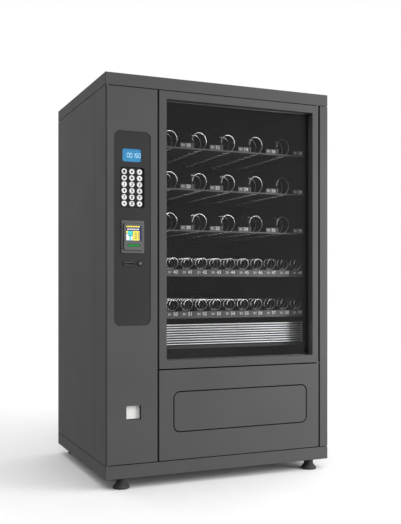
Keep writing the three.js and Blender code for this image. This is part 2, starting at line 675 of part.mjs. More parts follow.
place(paymentGroup, 'payment_door', geometryOf(paymentDoor()), paint());
place(paymentGroup, 'control_panel', geometryOf(controlPanel()), darkPaint());
place(paymentGroup, 'display', geometryOf(displayModule()), material(0x3d9bd0, 0.25, 0));
place(paymentGroup, 'keypad_plate', geometryOf(keypadPlate()), blackPlastic());
place(paymentGroup, 'card_reader', geometryOf(cardReader()), greyPlastic());
place(paymentGroup, 'coin_slot', geometryOf(coinSlot()), greyPlastic());
place(paymentGroup, 'coin_return_button', geometryOf(coinReturnButton()), greyPlastic());
place(paymentGroup, 'coin_return_cup', geometryOf(coinReturnCup()), blackPlastic());
place(paymentGroup, 'coin_return_flap', geometryOf(coinReturnFlap()), whitePlastic());
place(paymentGroup, 'coin_mechanism', geometryOf(coinMechanism()), greyPlastic());
keyPositions().forEach(([x, z], index) => {
  place(paymentGroup, `key_${index + 1}`, keyGeometry(), whitePlastic()).position.set(x, 0, z);
});
place(cabinet, 'payment_hinge_rod', geometryOf(rodAlongZ(paymentHinge.x, paymentHinge.y,
  [PLINTH_TOP + TOUCH, COVER_BOTTOM - TOUCH], ROD_RADIUS, 12)), steelWire());

export default machine;
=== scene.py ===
"""The looks of the snack vending machine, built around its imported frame.

Lengths are in metres in the frame's own axes: x to the right, y from the front into the machine, z up.
Places come from the boxes of the frame's nodes, and the sizes of small details are named here.
"""

import math
from collections import namedtuple

import bmesh
import bpy
from mathutils import Matrix, Vector
from mathutils.geometry import delaunay_2d_cdt


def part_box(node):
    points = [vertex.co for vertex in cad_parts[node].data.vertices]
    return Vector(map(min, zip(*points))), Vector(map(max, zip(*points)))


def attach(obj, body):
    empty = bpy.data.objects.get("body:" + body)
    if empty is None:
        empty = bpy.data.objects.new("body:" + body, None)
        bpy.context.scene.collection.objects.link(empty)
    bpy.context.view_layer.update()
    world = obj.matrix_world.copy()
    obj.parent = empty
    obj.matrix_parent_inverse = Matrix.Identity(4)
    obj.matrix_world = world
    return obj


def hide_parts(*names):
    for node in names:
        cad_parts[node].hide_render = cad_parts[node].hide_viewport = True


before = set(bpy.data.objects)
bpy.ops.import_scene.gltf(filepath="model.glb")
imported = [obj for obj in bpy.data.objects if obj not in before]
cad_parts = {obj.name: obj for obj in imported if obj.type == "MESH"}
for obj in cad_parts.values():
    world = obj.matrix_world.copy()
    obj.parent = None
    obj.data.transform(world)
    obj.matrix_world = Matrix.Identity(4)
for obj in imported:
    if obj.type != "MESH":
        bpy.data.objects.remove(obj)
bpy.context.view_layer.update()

MM = 0.001
SHEET = 2 * MM

# ------------------------------------------------------------------ places read from the frame


class Box:
    """The box of a CAD node, as one (low, high) pair for each axis, and its outline from the front."""

    def __init__(self, node):
        low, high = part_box(node)
        self.x = (low.x, high.x)
        self.y = (low.y, high.y)
        self.z = (low.z, high.z)
        self.front = (*self.x, *self.z)


def grown(span, by):
    return (span[0] - by, span[1] + by)


def middle(span):
    return (span[0] + span[1]) / 2


def size(span):
    return span[1] - span[0]


def inset(rect, by):
    """A (left, right, low, high) outline with every side drawn in."""
    left, right, low, high = rect
    return (left + by, right - by, low + by, high - by)


def in_mm(*pairs):
    return [(first * MM, second * MM) for first, second in pairs]


def beside(place, low, high):
    """The span between two distances from a place, in millimetres."""
    return (place + low * MM, place + high * MM)


FACE_Y = Box("payment_door").y[0]
DISPLAY = Box("display")
KEYPAD = Box("keypad_plate")
CONTROL = Box("control_panel")
READER = Box("card_reader")
COIN = Box("coin_slot")
CUP = Box("coin_return_cup")
GLASS = Box("window_glass")
FLAP = Box("delivery_flap")

OPENING = inset(GLASS.front, 8 * MM)
CONTROL_OPENING = inset(CONTROL.front, 8 * MM)
DISPLAY_OPENING = inset(DISPLAY.front, 4 * MM)
KEYPAD_OPENING = inset(KEYPAD.front, 4 * MM)
RETURN_OPENING = (*grown(CUP.x, -2 * MM), CUP.z[0] + 2 * MM, CUP.z[1] - 14 * MM)
FLAP_OPENING = inset(FLAP.front, -5 * MM)

SNACK_TRAYS = ["snack_tray_1", "snack_tray_2", "snack_tray_3"]
CANDY_TRAYS = ["candy_tray_1", "candy_tray_2"]
SPIRALS = [Box(f"spiral_{lane}") for lane in range(1, 6)]
SNACK_LANES = [middle(box.x) for box in SPIRALS]
SPIRAL_FRONT = SPIRALS[0].y[0] + 2.5 * MM
TRAY_X = Box("snack_tray_1").x
STRIP_END = TRAY_X[0] + 754 * MM
WALL_SHIFT = 100.8 * MM
CANDY_PITCH = 73.9 * MM
CANDY_LANES = [TRAY_X[0] + 64.7 * MM + lane * CANDY_PITCH for lane in range(10)]

# ------------------------------------------------------------------ materials


def add_node(tree, kind, **inputs):
    """A shader node. Each of its inputs takes a value, or another node's output to follow."""
    node = tree.nodes.new(f"ShaderNode{kind}")
    for name, value in inputs.items():
        socket = node.inputs[name.replace("_", " ")]
        if isinstance(value, bpy.types.NodeSocket):
            tree.links.new(value, socket)
        else:
            socket.default_value = value
    return node


def noise(tree, scale, detail=2.0, stretch=(1, 1, 1)):
    """Noise in the piece's own metres; a larger stretch along an axis squeezes it along that axis."""
    place = add_node(tree, "TexCoord").outputs["Object"]
    mapping = add_node(tree, "Mapping", Vector=place, Scale=stretch)
    texture = add_node(tree, "TexNoise", Vector=mapping.outputs["Vector"], Scale=scale, Detail=detail)
    return texture.outputs["Fac"]


def blend_of(tree, first, second, share):
    """A weighted sum of two noises: share of the first and the rest of the second."""
    return add_node(tree, "Mix", Factor=1 - share, A=first, B=second).outputs["Result"]


def ramp(tree, factor, dark, light):
    node = add_node(tree, "ValToRGB", Fac=factor)
    for stop, position, tone in zip(node.color_ramp.elements, (0.35, 0.65), (dark, light)):
        stop.position = position
        stop.color = (*tone, 1)
    return node.outputs["Color"]


def spread(tree, factor, low, high):
    node = add_node(tree, "MapRange", Value=factor, From_Min=0.3, From_Max=0.7, To_Min=low, To_Max=high)
    return node.outputs["Result"]


def relief(tree, shader, height, strength, distance):
    bump = add_node(tree, "Bump", Strength=strength, Distance=distance, Height=height)
    tree.links.new(bump.outputs["Normal"], shader.inputs["Normal"])


def grey(tone):
    return (tone, tone * 1.01, tone * 1.025)


def surface(name, dark, light, rough, grain, bump, depth=0.1, stretch=(1, 1, 1), **sockets):
    """A material whose tone, gloss and relief all follow noise. rough is its (least, most) roughness.

    dark and light are its two tones: each is a colour, or a plain number for a slightly cool grey. bump is
    the strength of its relief, and depth its distance in millimetres.
    """
    dark, light = (tone if isinstance(tone, tuple) else grey(tone) for tone in (dark, light))
    material = bpy.data.materials.new(name)
    material.use_nodes = True
    tree = material.node_tree
    shader = tree.nodes["Principled BSDF"]
    for socket, value in sockets.items():
        shader.inputs[socket.replace("_", " ")].default_value = value
    fine = noise(tree, grain, 3, stretch)
    broad = noise(tree, 5, 3)
    tree.links.new(ramp(tree, blend_of(tree, fine, broad, 0.5), dark, light), shader.inputs["Base Color"])
    tree.links.new(spread(tree, blend_of(tree, fine, broad, 0.3), *rough), shader.inputs["Roughness"])
    relief(tree, shader, fine, bump, depth * MM)
    return material


def lit_surface(name, dark, light, strength, grain):
    """A backlit plastic that glows by itself, with a fine mottle."""
    material = surface(name, dark, light, (0.15, 0.25), grain, 0.02)
    tree = material.node_tree
    shader = tree.nodes["Principled BSDF"]
    tree.links.new(ramp(tree, noise(tree, grain), dark, light), shader.inputs["Emission Color"])
    shader.inputs["Emission Strength"].default_value = strength
    return material


def window_glass():
    """Clear glass with a very faint haze of wiping marks."""
    material = surface("window_glass", 0.044, 0.054, (0.0, 0.04), 14, 0.0, stretch=(3, 1, 1),
                       Alpha=0.14, IOR=1.5)
    material.surface_render_method = "BLENDED"
    return material


def liquid_crystal():
    """The blue backlight of the display, with a fine mottle, behind a fine dot grid."""
    material = lit_surface("lcd_blue", (0.022, 0.19, 0.40), (0.034, 0.24, 0.48), 0.10, 60)
    tree = material.node_tree
    shader = tree.nodes["Principled BSDF"]
    place = add_node(tree, "TexCoord").outputs["Object"]
    grid = add_node(tree, "TexBrick", Vector=place, Scale=500, Mortar_Size=0.08)
    grid.offset = 0
    relief(tree, shader, grid.outputs["Fac"], 0.15, 0.02 * MM)
    return material


PAINT = surface("cabinet_paint", 0.077, 0.085, (0.40, 0.48), 1100, 0.08, 0.04, Specular_IOR_Level=0.10)
# The cabinet paint made glossier and a lighter tone for the window's upright reveal faces: the lighter tone
# is painted light on those faces and in their reflection in the pane.
REVEAL_PAINTED_LIGHT = surface("reveal_paint_painted_light", 0.090, 0.100, (0.08, 0.14), 900, 0.03, 0.02)
DARK_PAINT = surface("dark_paint", 0.030, 0.034, (0.40, 0.50), 1500, 0.10, 0.04, Specular_IOR_Level=0.15)
BACK_PAINT = surface("back_paint", 0.050, 0.060, (0.40, 0.55), 800, 0.12, 0.05)
INSIDE = surface("interior_paint", 0.020, 0.026, (0.50, 0.62), 900, 0.15, 0.05)
RAIL = surface("rail_grey", 0.085, 0.100, (0.35, 0.45), 900, 0.06, 0.04)
LABEL = surface("label_card", 0.085, 0.105, (0.30, 0.38), 400, 0.04, 0.03)
PRINT = surface("white_print", 0.80, 0.90, (0.45, 0.55), 2000, 0.03, 0.02)
PALE_PRINT = surface("pale_print", 0.62, 0.72, (0.45, 0.55), 2000, 0.03, 0.02)
BLACK_PLASTIC = surface("black_plastic", 0.006, 0.009, (0.45, 0.60), 1800, 0.20, 0.04,
                        Specular_IOR_Level=0.3)
GREY_PLASTIC = surface("grey_plastic", 0.085, 0.098, (0.36, 0.46), 1500, 0.14, 0.05)
KEY_WHITE = surface("key_white", (0.80, 0.80, 0.79), (0.88, 0.88, 0.87), (0.22, 0.30), 600, 0.03, 0.03)
KEY_PRINT = surface("key_print", 0.010, 0.014, (0.45, 0.55), 2000, 0.03, 0.02)
FLAP_WHITE = surface("flap_white", (0.74, 0.74, 0.73), (0.80, 0.80, 0.79), (0.34, 0.44), 1200, 0.10, 0.04)
STEEL = surface("steel_wire", 0.50, 0.62, (0.20, 0.32), 400, 0.05, 0.02, Metallic=1.0)
ZINC = surface("zinc_plate", 0.42, 0.58, (0.28, 0.42), 250, 0.06, 0.03, Metallic=1.0)
BRUSHED = surface("brushed_aluminium", 0.80, 0.92, (0.28, 0.40), 900, 0.10, 0.03,
                  stretch=(0.02, 1, 1), Metallic=1.0)
RUBBER = surface("foot_rubber", 0.018, 0.026, (0.60, 0.80), 500, 0.30, 0.10)
GASKET = surface("window_gasket", 0.045, 0.055, (0.45, 0.55), 500, 0.20, 0.06)
LENS = surface("diffuser", 0.55, 0.62, (0.30, 0.40), 700, 0.08, 0.05)
GLASS_CLEAR = window_glass()
LCD_BLUE = liquid_crystal()
LCD_DIGIT = lit_surface("lcd_digit", (0.50, 0.78, 0.90), (0.56, 0.84, 0.96), 0.30, 400)
SCREEN_NAVY = lit_surface("screen_navy", (0.015, 0.018, 0.10), (0.022, 0.026, 0.14), 0.4, 300)
SCREEN_YELLOW = lit_surface("screen_yellow", (0.80, 0.66, 0.06), (0.92, 0.78, 0.10), 0.28, 300)
SCREEN_TEAL = lit_surface("screen_teal", (0.05, 0.48, 0.46), (0.08, 0.62, 0.58), 0.28, 300)
SCREEN_WHITE = lit_surface("screen_white", (0.74, 0.72, 0.70), (0.86, 0.84, 0.82), 0.28, 300)
LED_GREEN = lit_surface("led_green", (0.004, 0.22, 0.03), (0.01, 0.36, 0.05), 0.45, 200)

# ------------------------------------------------------------------ shapes

# One edge loop of a plate. rect is (left, right, low, high) and profile is a list of (growth, depth):
# how far the outline has grown at each depth behind the face. look is a material number.
Contour = namedtuple("Contour", "rect corner profile look", defaults=(0,))

OUTSIDE = 1
HOLE = -1


def facing_front(u, v, depth):
    return (u, depth, v)


def quarter(steps):
    return [math.pi / 2 * step / steps for step in range(steps + 1)]


def eased(side, edge, face, steps=4):
    """The rounded front edge of an outline: from the face round to the wall behind it."""
    return [(-side * edge * (1 - math.sin(a)), face + edge * (1 - math.cos(a))) for a in quarter(steps)]


def solid_edge(side, edge, y, back_edge=0.3 * MM):
    """The edge of a solid plate: rounded in front, with a small bevel behind."""
    return [*eased(side, edge, y[0]), (0, y[1] - back_edge), (-side * back_edge, y[1])]


def folded_edge(side, edge, sheet, y):
    """The edge of a sheet that is folded back to y[1] all along the outline."""
    return [*eased(side, edge, y[0]), (0, y[1]), (-side * sheet, y[1]), (-side * sheet, y[0] + sheet)]


def rounded_outline(rect, corner, growth, steps):
    """The points of a rectangle with round corners, after each side has moved out by its growth."""
    grow = growth if isinstance(growth, tuple) else (growth,) * 4
    x = (rect[0] - grow[0], rect[1] + grow[1])
    z = (rect[2] - grow[2], rect[3] + grow[3])
    if corner == 0:
        return [(x[1], z[0]), (x[1], z[1]), (x[0], z[1]), (x[0], z[0])]
    radius = max(corner + grow[0], 0.02 * MM)
    centres = [(x[1] - radius, z[0] + radius), (x[1] - radius, z[1] - radius),
               (x[0] + radius, z[1] - radius), (x[0] + radius, z[0] + radius)]
    points = []
    for index, (centre_x, centre_z) in enumerate(centres):
        for step in range(steps + 1):
            angle = math.pi / 2 * (index - 1 + step / steps)
            point = (centre_x + radius * math.cos(angle), centre_z + radius * math.sin(angle))
            if not points or math.dist(point, points[-1]) > 0.001 * MM:
                points.append(point)
    if math.dist(points[0], points[-1]) < 0.001 * MM:
        points.pop()
    return points


def bridge(bm, near, far, look=0):
    """Faces between two closed rings of vertices."""
    count = len(near)
    for index in range(count):
        following = (index + 1) % count
        face = bm.faces.new((near[index], near[following], far[following], far[index]))
        face.material_index = look


def is_within(place, outline):
    """Whether a place is inside a closed outline, from how often the outline passes to its right."""
    crossings = 0
    for (x0, z0), (x1, z1) in zip(outline, outline[1:] + outline[:1]):
        if (z0 > place.y) != (z1 > place.y):
            crossings += place.x < x0 + (place.y - z0) / (z1 - z0) * (x1 - x0)
    return crossings % 2 == 1


def fill(bm, outlines, rings, look):
    """Faces across a flat outline and around its holes. outlines holds the flat places of the rings."""
    corners = [corner for ring in rings for corner in ring]
    places = [Vector(place) for outline in outlines for place in outline]
    edges = []
    for ring in rings:
        start = len(edges)
        edges += [(start + step, start + (step + 1) % len(ring)) for step in range(len(ring))]
    all_triangles = 1
    _, _, faces, sources, _, _ = delaunay_2d_cdt(places, edges, [], all_triangles, 1e-7)
    for face in faces:
        places_of_face = [places[sources[index][0]] for index in face]
        middle_of_face = sum(places_of_face, Vector((0, 0))) / len(face)
        if not any(is_within(middle_of_face, hole) for hole in outlines[1:]):
            bm.faces.new([corners[sources[index][0]] for index in face]).material_index = look


def add_slab(bm, contours, place=facing_front, steps=6, face_look=0):
    """A closed plate: the first contour is its outside and the others are holes through it."""
    ends = {0: ([], []), -1: ([], [])}
    for contour in contours:
        outlines = [rounded_outline(contour.rect, contour.corner, growth, steps)
                    for growth, _ in contour.profile]
        rings = [[bm.verts.new(place(u, v, depth)) for u, v in outline]
                 for outline, (_, depth) in zip(outlines, contour.profile)]
        for near, far in zip(rings, rings[1:]):
            bridge(bm, near, far, contour.look)
        for end, (flat, loops) in ends.items():
            flat.append(outlines[end])
            loops.append(rings[end])
    for flat, loops in ends.values():
        fill(bm, flat, loops, face_look)


def add_plate(bm, rect, y, corner=0.0, edge=0.6 * MM, look=0, steps=6):
    """A plain plate with rounded corners and edges."""
    add_slab(bm, [Contour(rect, corner, solid_edge(OUTSIDE, edge, y, edge / 2), look)], steps=steps,
             face_look=look)


def add_block(bm, x, y, z, edge=0.6 * MM):
    """A block with all its edges rounded."""
    back = [(growth, y[1] - depth) for growth, depth in reversed(eased(OUTSIDE, edge, 0, 3))]
    add_slab(bm, [Contour((*x, *z), edge, [*eased(OUTSIDE, edge, y[0], 3), *back])], steps=2)


def add_turned(bm, profile, centre, axis, steps=32, look=0):
    """A turned solid. profile is (radius, height) pairs, on the axis at both ends."""
    def place(radius, angle, height):
        across, up = radius * math.cos(angle), radius * math.sin(angle)
        offset = {"x": (height, across, up), "y": (across, height, up), "z": (across, up, height)}[axis]
        return Vector(centre) + Vector(offset)

    rings = [[bm.verts.new(place(radius, 2 * math.pi * step / steps, height)) for step in range(steps)]
             for radius, height in profile[1:-1]]
    for near, far in zip(rings, rings[1:]):
        bridge(bm, near, far, look)
    for (_, height), ring in ((profile[0], rings[0]), (profile[-1], rings[-1])):
        tip = bm.verts.new(place(0, 0, height))
        for index in range(steps):
            bm.faces.new((tip, ring[index - 1], ring[index])).material_index = look


def add_rod(bm, span, centre, radius, axis, edge=0.4 * MM, steps=24):
    length = size(span)
    profile = [(0, 0), (radius - edge, 0), (radius, edge), (radius, length - edge), (radius - edge, length),
               (0, length)]
    start = {"x": (span[0], *centre), "y": (centre[0], span[0], centre[1]), "z": (*centre, span[0])}[axis]
    add_turned(bm, profile, start, axis, steps)


def add_section(bm, points, x):
    """A closed outline in y and z, drawn out along x."""
    ends = [[bm.verts.new((end, y, z)) for y, z in points] for end in x]
    bridge(bm, *ends)
    for ring in ends:
        bm.faces.new(ring)


def sheet_outline(path, thickness):
    """The outline of a bent sheet that follows a path of (y, z) points along its middle."""
    sides = [[], []]
    for index, point in enumerate(path):
        before = Vector(path[max(index - 1, 0)])
        after = Vector(path[min(index + 1, len(path) - 1)])
        along = (after - before).normalized()
        across = Vector((-along.y, along.x)) * thickness / 2
        sides[0].append(tuple(Vector(point) + across))
        sides[1].append(tuple(Vector(point) - across))
    return sides[0] + sides[1][::-1]


def in_scene(name, data):
    """An object that holds a mesh, curve, light or camera, linked to the scene."""
    holder = bpy.data.objects.new(name, data)
    bpy.context.scene.collection.objects.link(holder)
    return holder


def mesh_of(curve):
    holder = in_scene("holder", curve)
    mesh = bpy.data.meshes.new_from_object(holder.evaluated_get(bpy.context.evaluated_depsgraph_get()))
    bpy.data.objects.remove(holder)
    bpy.data.curves.remove(curve)
    return mesh


def add_mesh(bm, mesh, matrix, look=0):
    """Adds a mesh to the piece under construction and joins its doubled corners."""
    mesh.transform(matrix)
    known = len(bm.faces)
    bm.from_mesh(mesh)
    bpy.data.meshes.remove(mesh)
    bm.faces.ensure_lookup_table()
    added = bm.faces[known:]
    for face in added:
        face.material_index = look
    corners = list({corner for face in added for corner in face.verts})
    bmesh.ops.remove_doubles(bm, verts=corners, dist=0.001 * MM)


# How tall a digit is, as a share of the font's size.
DIGIT_SHARE = 0.72


def add_digits(bm, text, height, x, y, z, look=0, boldness=0.02):
    """Raised digits that face the front, centred at x and z, with their face at y."""
    thickness = 0.15 * MM
    curve = bpy.data.curves.new("digits", "FONT")
    curve.body = text
    curve.size = height / DIGIT_SHARE
    curve.offset = boldness * curve.size / 2
    curve.extrude = thickness / 2
    curve.resolution_u = 3
    curve.align_x = "CENTER"
    curve.align_y = "CENTER"
    upright = Matrix.Translation((x, y + thickness / 2, z)) @ Matrix.Rotation(math.pi / 2, 4, "X")
    add_mesh(bm, mesh_of(curve), upright, look)


def add_wire(bm, points, radius):
    """A round wire along a path."""
    curve = bpy.data.curves.new("wire", "CURVE")
    curve.dimensions = "3D"
    curve.bevel_depth = radius
    curve.bevel_resolution = 2
    curve.use_fill_caps = True
    spline = curve.splines.new("POLY")
    spline.points.add(len(points) - 1)
    for place, point in zip(spline.points, points):
        place.co = (*point, 1)
    add_mesh(bm, mesh_of(curve), Matrix.Identity(4))


def make_piece(name, bm, materials, body, replaced=(), crease=35):
    """Turns a mesh under construction into a finished piece that rides on a body."""
    bmesh.ops.recalc_face_normals(bm, faces=bm.faces)
    mesh = bpy.data.meshes.new(name)
    bm.to_mesh(mesh)
    bm.free()
    for material in materials:
        mesh.materials.append(material)
    mesh.shade_smooth()
    mesh.set_sharp_from_angle(angle=math.radians(crease))
    piece = in_scene(name, mesh)
    weighting = piece.modifiers.new("face weighted normals", "WEIGHTED_NORMAL")
    weighting.keep_sharp = True
    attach(piece, body)
    if replaced:
        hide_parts(*replaced)
    return piece


def refine(node, material, body, edge):
    """A copy of a CAD node with its edges rounded, which takes the node's place."""
    bm = bmesh.new()
    bm.from_mesh(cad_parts[node].data)
    bmesh.ops.remove_doubles(bm, verts=bm.verts, dist=0.01 * MM)
    bmesh.ops.dissolve_limit(bm, angle_limit=math.radians(1), verts=bm.verts, edges=bm.edges)
    for face in bm.faces:
        face.material_index = 0
    piece = make_piece(f"{node}_shell", bm, [material], body, [node])
    rounding = piece.modifiers.new("rounded edges", "BEVEL")
    rounding.width = edge
    rounding.segments = 2
    rounding.limit_method = "ANGLE"
    rounding.angle_limit = math.radians(40)
    piece.modifiers.move(1, 0)
    return piece


def dress(node, material):
    """Gives a CAD node that stays in view its finished material."""
    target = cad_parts[node]
    target.data.materials.clear()
    target.data.materials.append(material)


# ------------------------------------------------------------------ cabinet

BAND_EDGE = 2.6 * MM
DOOR_EDGE = 2.4 * MM
HINGE_RADIUS = 6 * MM


def add_hinge_seat(bm, x, z):
    """The plate in a corner of a band that holds the end of a hinge rod."""
    add_block(bm, x, beside(FACE_Y, 2.2, 40), z, 0.4 * MM)


def add_band(bm, box, face, fold):
    """A flat sheet at the height of face, with its rim folded up (1) or down (-1) all round."""
    rim = folded_edge(OUTSIDE, BAND_EDGE, SHEET, (0, size(box.z)))
    add_slab(bm, [Contour((*box.x, *box.y), BAND_EDGE, rim)],
             place=lambda u, v, depth: (u, v, face + fold * depth))


def top_cover():
    box = Box("top_cover")
    bm = bmesh.new()
    add_band(bm, box, box.z[1], -1)
    seat_z = (box.z[0] + 0.1 * MM, box.z[0] + SHEET)
    add_hinge_seat(bm, beside(box.x[0], 2.2, 40), seat_z)
    add_hinge_seat(bm, beside(box.x[1], -78, -2.2), seat_z)
    make_piece("top_cover_shell", bm, [PAINT], "root", ["top_cover"])


def base_plinth():
    box = Box("base_plinth")
    bm = bmesh.new()
    add_band(bm, box, box.z[0], 1)
    add_hinge_seat(bm, beside(box.x[0], 2.2, 40), (box.z[1] - SHEET, box.z[1] - 0.1 * MM))
    make_piece("base_plinth_shell", bm, [PAINT], "root", ["base_plinth"])


def corner_shade_rods():
    """A black rubber rod in each upright corner of the two bands: painted shade for the dark line of the
    corner seam.
    """
    bm = bmesh.new()
    for node in ("base_plinth", "top_cover"):
        box = Box(node)
        for x in grown(box.x, -1.1 * MM):
            for y in grown(box.y, -1.1 * MM):
                add_rod(bm, grown(box.z, -2.2 * MM), (x, y), 1.25 * MM, "z", 0.3 * MM, 12)
    make_piece("corner_shade_rods", bm, [RUBBER], "root")


def levelling_foot(node):
    """A turned rubber foot: a broad pad, a cone above it and a ribbed collar up to the plinth."""
    box = Box(node)
    pad, collar, height = size(box.x) / 2, 22.5 * MM, size(box.z)
    profile = [(0, 0), (pad - 1.5 * MM, 0), (pad, 1.5 * MM), (pad, 6.5 * MM), (pad - 2 * MM, 9 * MM),
               (collar + 3 * MM, 22 * MM), (collar, 24.5 * MM)]
    for rib in range(3):
        low = (29 + 6 * rib) * MM
        profile += [(collar, low), (collar - 0.8 * MM, low + 0.8 * MM), (collar - 0.8 * MM, low + 1.6 * MM),
                    (collar, low + 2.4 * MM)]
    profile += [(collar, height - 0.5 * MM), (collar - 0.5 * MM, height), (0, height)]
    bm = bmesh.new()
    add_turned(bm, profile, (middle(box.x), middle(box.y), box.z[0]), "z", 40)
    make_piece(f"{node}_rubber", bm, [RUBBER], "root", [node])


def screw_heads(places):
    """Round screw heads with a small recess, on the back of the machine."""
    radius, height = 4 * MM, 2.2 * MM
    profile = [(0, height - 1.2 * MM), (radius * 0.45, height - 1.2 * MM), (radius * 0.5, height),
               (radius * 0.8, height - 0.2 * MM), (radius, height * 0.45), (radius, 0), (0, 0)]
    bm = bmesh.new()
    for place in places:
        add_turned(bm, profile, place, "y", 18)
    make_piece("back_panel_screws", bm, [ZINC], "root")


def louvre_hoods():
    """The pressed hood over each vent slot of the back panel, open at its lower edge."""
    back = Box("back_panel")
    left = Box("left_side_panel").x[0] + 700 * MM
    bottom = Box("base_plinth").z[0] + 150 * MM
    bm = bmesh.new()
    for row in range(8):
        low = bottom + row * 22 * MM
        path = [(back.y[1] + reach * MM, low + up * MM)
                for reach, up in ((0.3, 15.5), (0.8, 14), (2.2, 11.5), (4.4, 6), (5.0, 2.5), (5.0, 0.5))]
        add_section(bm, sheet_outline(path, 0.8 * MM), beside(left, -4, 224))
        for end in beside(left, -4, 223.2):
            cheek = [(back.y[1] + 0.2 * MM, low), *[(y - 0.4 * MM, z) for y, z in reversed(path[:5])]]
            add_section(bm, cheek, beside(end, 0, 0.8))
    make_piece("vent_hoods", bm, [BACK_PAINT], "root")


def back_details():
    """The hoods over the vent, two columns and two rows of screws, and the pins of the mains inlet."""
    louvre_hoods()
    back = Box("back_panel")
    y = back.y[1]
    columns = [back.x[0] + 14 * MM, back.x[1] - 14 * MM]
    rows = [back.z[0] + (20 + 270 * step) * MM for step in range(7)]
    places = [(x, y, z) for x in columns for z in rows]
    places += [(middle(back.x) + shift * MM, y, z) for shift in (-260, 0, 260)
               for z in (back.z[0] + 20 * MM, back.z[1] - 20 * MM)]
    screw_heads(places)
    inlet = Box("mains_inlet")
    bm = bmesh.new()
    for across, length in ((-10, 14), (0, 18), (10, 14)):
        x = middle(inlet.x) + across * MM
        z = middle(inlet.z) - (4 if across == 0 else 0) * MM
        add_block(bm, grown((x, x), 2 * MM), (inlet.y[0] + 8 * MM, inlet.y[0] + (8 + length) * MM),
                  grown((z, z), 2.5 * MM), 0.4 * MM)
    make_piece("mains_inlet_pins", bm, [ZINC], "root")


def cabinet():
    top_cover()
    base_plinth()
    corner_shade_rods()
    for node in ("front_left_foot", "front_right_foot", "back_left_foot", "back_right_foot"):
        levelling_foot(node)
    for node in ("left_side_panel", "right_side_panel"):
        refine(node, PAINT, "root", 0.35 * MM)
    refine("back_panel", BACK_PAINT, "root", 0.3 * MM)
    refine("mains_inlet", BLACK_PLASTIC, "root", 0.8 * MM)
    refine("column_partition", INSIDE, "root", 0.4 * MM)
    back_details()


# ------------------------------------------------------------------ doors and delivery


def round_inset(radius, depth):
    """How far a round edge has drawn in at a depth: it reaches full width at its radius."""
    away = min(abs(radius - depth), radius)
    return radius - math.sqrt(radius * radius - away * away)


def door_profile(hinge_side, depth):
    """A door's edge: the hinge side turns round a full half circle, and the others are eased."""
    eases = [DOOR_EDGE * (1 - math.cos(a)) for a in quarter(4)]
    half_circle = [HINGE_RADIUS * (1 - math.cos(2 * a)) for a in quarter(10)]
    samples = sorted({round(d, 6) for d in eases + half_circle})
    profile = []
    for d in [*samples, depth]:
        free = round_inset(DOOR_EDGE, min(d, DOOR_EDGE))
        growth = [-free] * 4
        growth[hinge_side] = -round_inset(HINGE_RADIUS, min(d, 2 * HINGE_RADIUS))
        profile.append((tuple(growth), FACE_Y + d))
    inner = [-SHEET] * 4
    inner[hinge_side] -= HINGE_RADIUS
    return [*profile, (tuple(inner), FACE_Y + depth), (tuple(inner), FACE_Y + SHEET)]


def cut_edge(edge, y_back):
    """A hole through a front sheet, with a rounded lip and no fold."""
    return [*eased(HOLE, edge, FACE_Y), (0, y_back)]


def payment_door():
    box = Box("payment_door")
    inner = FACE_Y + SHEET
    bm = bmesh.new()
    add_slab(bm, [
        Contour(box.front, 0, door_profile(0, size(box.y))),
        Contour(CONTROL_OPENING, 28 * MM, cut_edge(0.8 * MM, inner)),
        Contour(RETURN_OPENING, 3 * MM, cut_edge(0.8 * MM, inner)),
    ], steps=8)
    make_piece("payment_door_shell", bm, [PAINT], "payment_door", ["payment_door"])


def window_door():
    """The frame, whose upright inner faces are glossier than its front and painted lighter as painted light,
    and its pane and gasket.
    """
    box = Box("window_frame")
    reveal_end = GLASS.y[0] - 0.3 * MM
    reveal = [*eased(HOLE, 1.4 * MM, FACE_Y), (0, reveal_end), (SHEET, reveal_end), (SHEET, FACE_Y + SHEET)]
    bm = bmesh.new()
    add_slab(bm, [
        Contour(box.front, 0, door_profile(1, size(box.y))),
        Contour(OPENING, 0, reveal),
    ])
    # The upright inner faces of the opening take the lighter reveal paint, which is painted light.
    for face in bm.faces:
        centre = face.calc_center_median()
        deep = FACE_Y + 2 * MM < centre.y < reveal_end - 0.5 * MM
        if deep and any(abs(centre.x - side) < 0.2 * MM for side in OPENING[:2]):
            face.material_index = 1
    make_piece("window_frame_shell", bm, [PAINT, REVEAL_PAINTED_LIGHT], "window_door", ["window_frame"])

    bm = bmesh.new()
    add_plate(bm, GLASS.front, GLASS.y, 2 * MM, 0.5 * MM)
    make_piece("window_pane", bm, [GLASS_CLEAR], "window_door", ["window_glass"])

    bead = beside(GLASS.y[0], -3.2, -0.2)
    bm = bmesh.new()
    add_slab(bm, [
        Contour(inset(OPENING, 0.4 * MM), 0.5 * MM, solid_edge(OUTSIDE, 0.3 * MM, bead)),
        Contour(inset(OPENING, 3.4 * MM), 0.5 * MM, solid_edge(HOLE, 1.2 * MM, bead)),
    ])
    make_piece("window_gasket", bm, [GASKET], "window_door")


def delivery_panel():
    box = Box("delivery_panel")
    lip = folded_edge(HOLE, 1.2 * MM, 1.4 * MM, beside(FACE_Y, 0, 6))
    lip[-1] = (lip[-1][0], FACE_Y + SHEET)
    bm = bmesh.new()
    add_slab(bm, [
        Contour(box.front, 0, folded_edge(OUTSIDE, DOOR_EDGE, SHEET, (FACE_Y, box.y[1]))),
        Contour(FLAP_OPENING, 32 * MM, lip),
    ], steps=12)
    rod = Box("flap_hinge_rod")
    for x in (beside(rod.x[0], 2, 10), beside(rod.x[1], -10, -2)):
        add_block(bm, x, beside(FACE_Y, 2.1, 14), grown((middle(rod.z),) * 2, 8 * MM))
    make_piece("delivery_panel_shell", bm, [PAINT], "root", ["delivery_panel"])
    dress("flap_hinge_rod", DARK_PAINT)


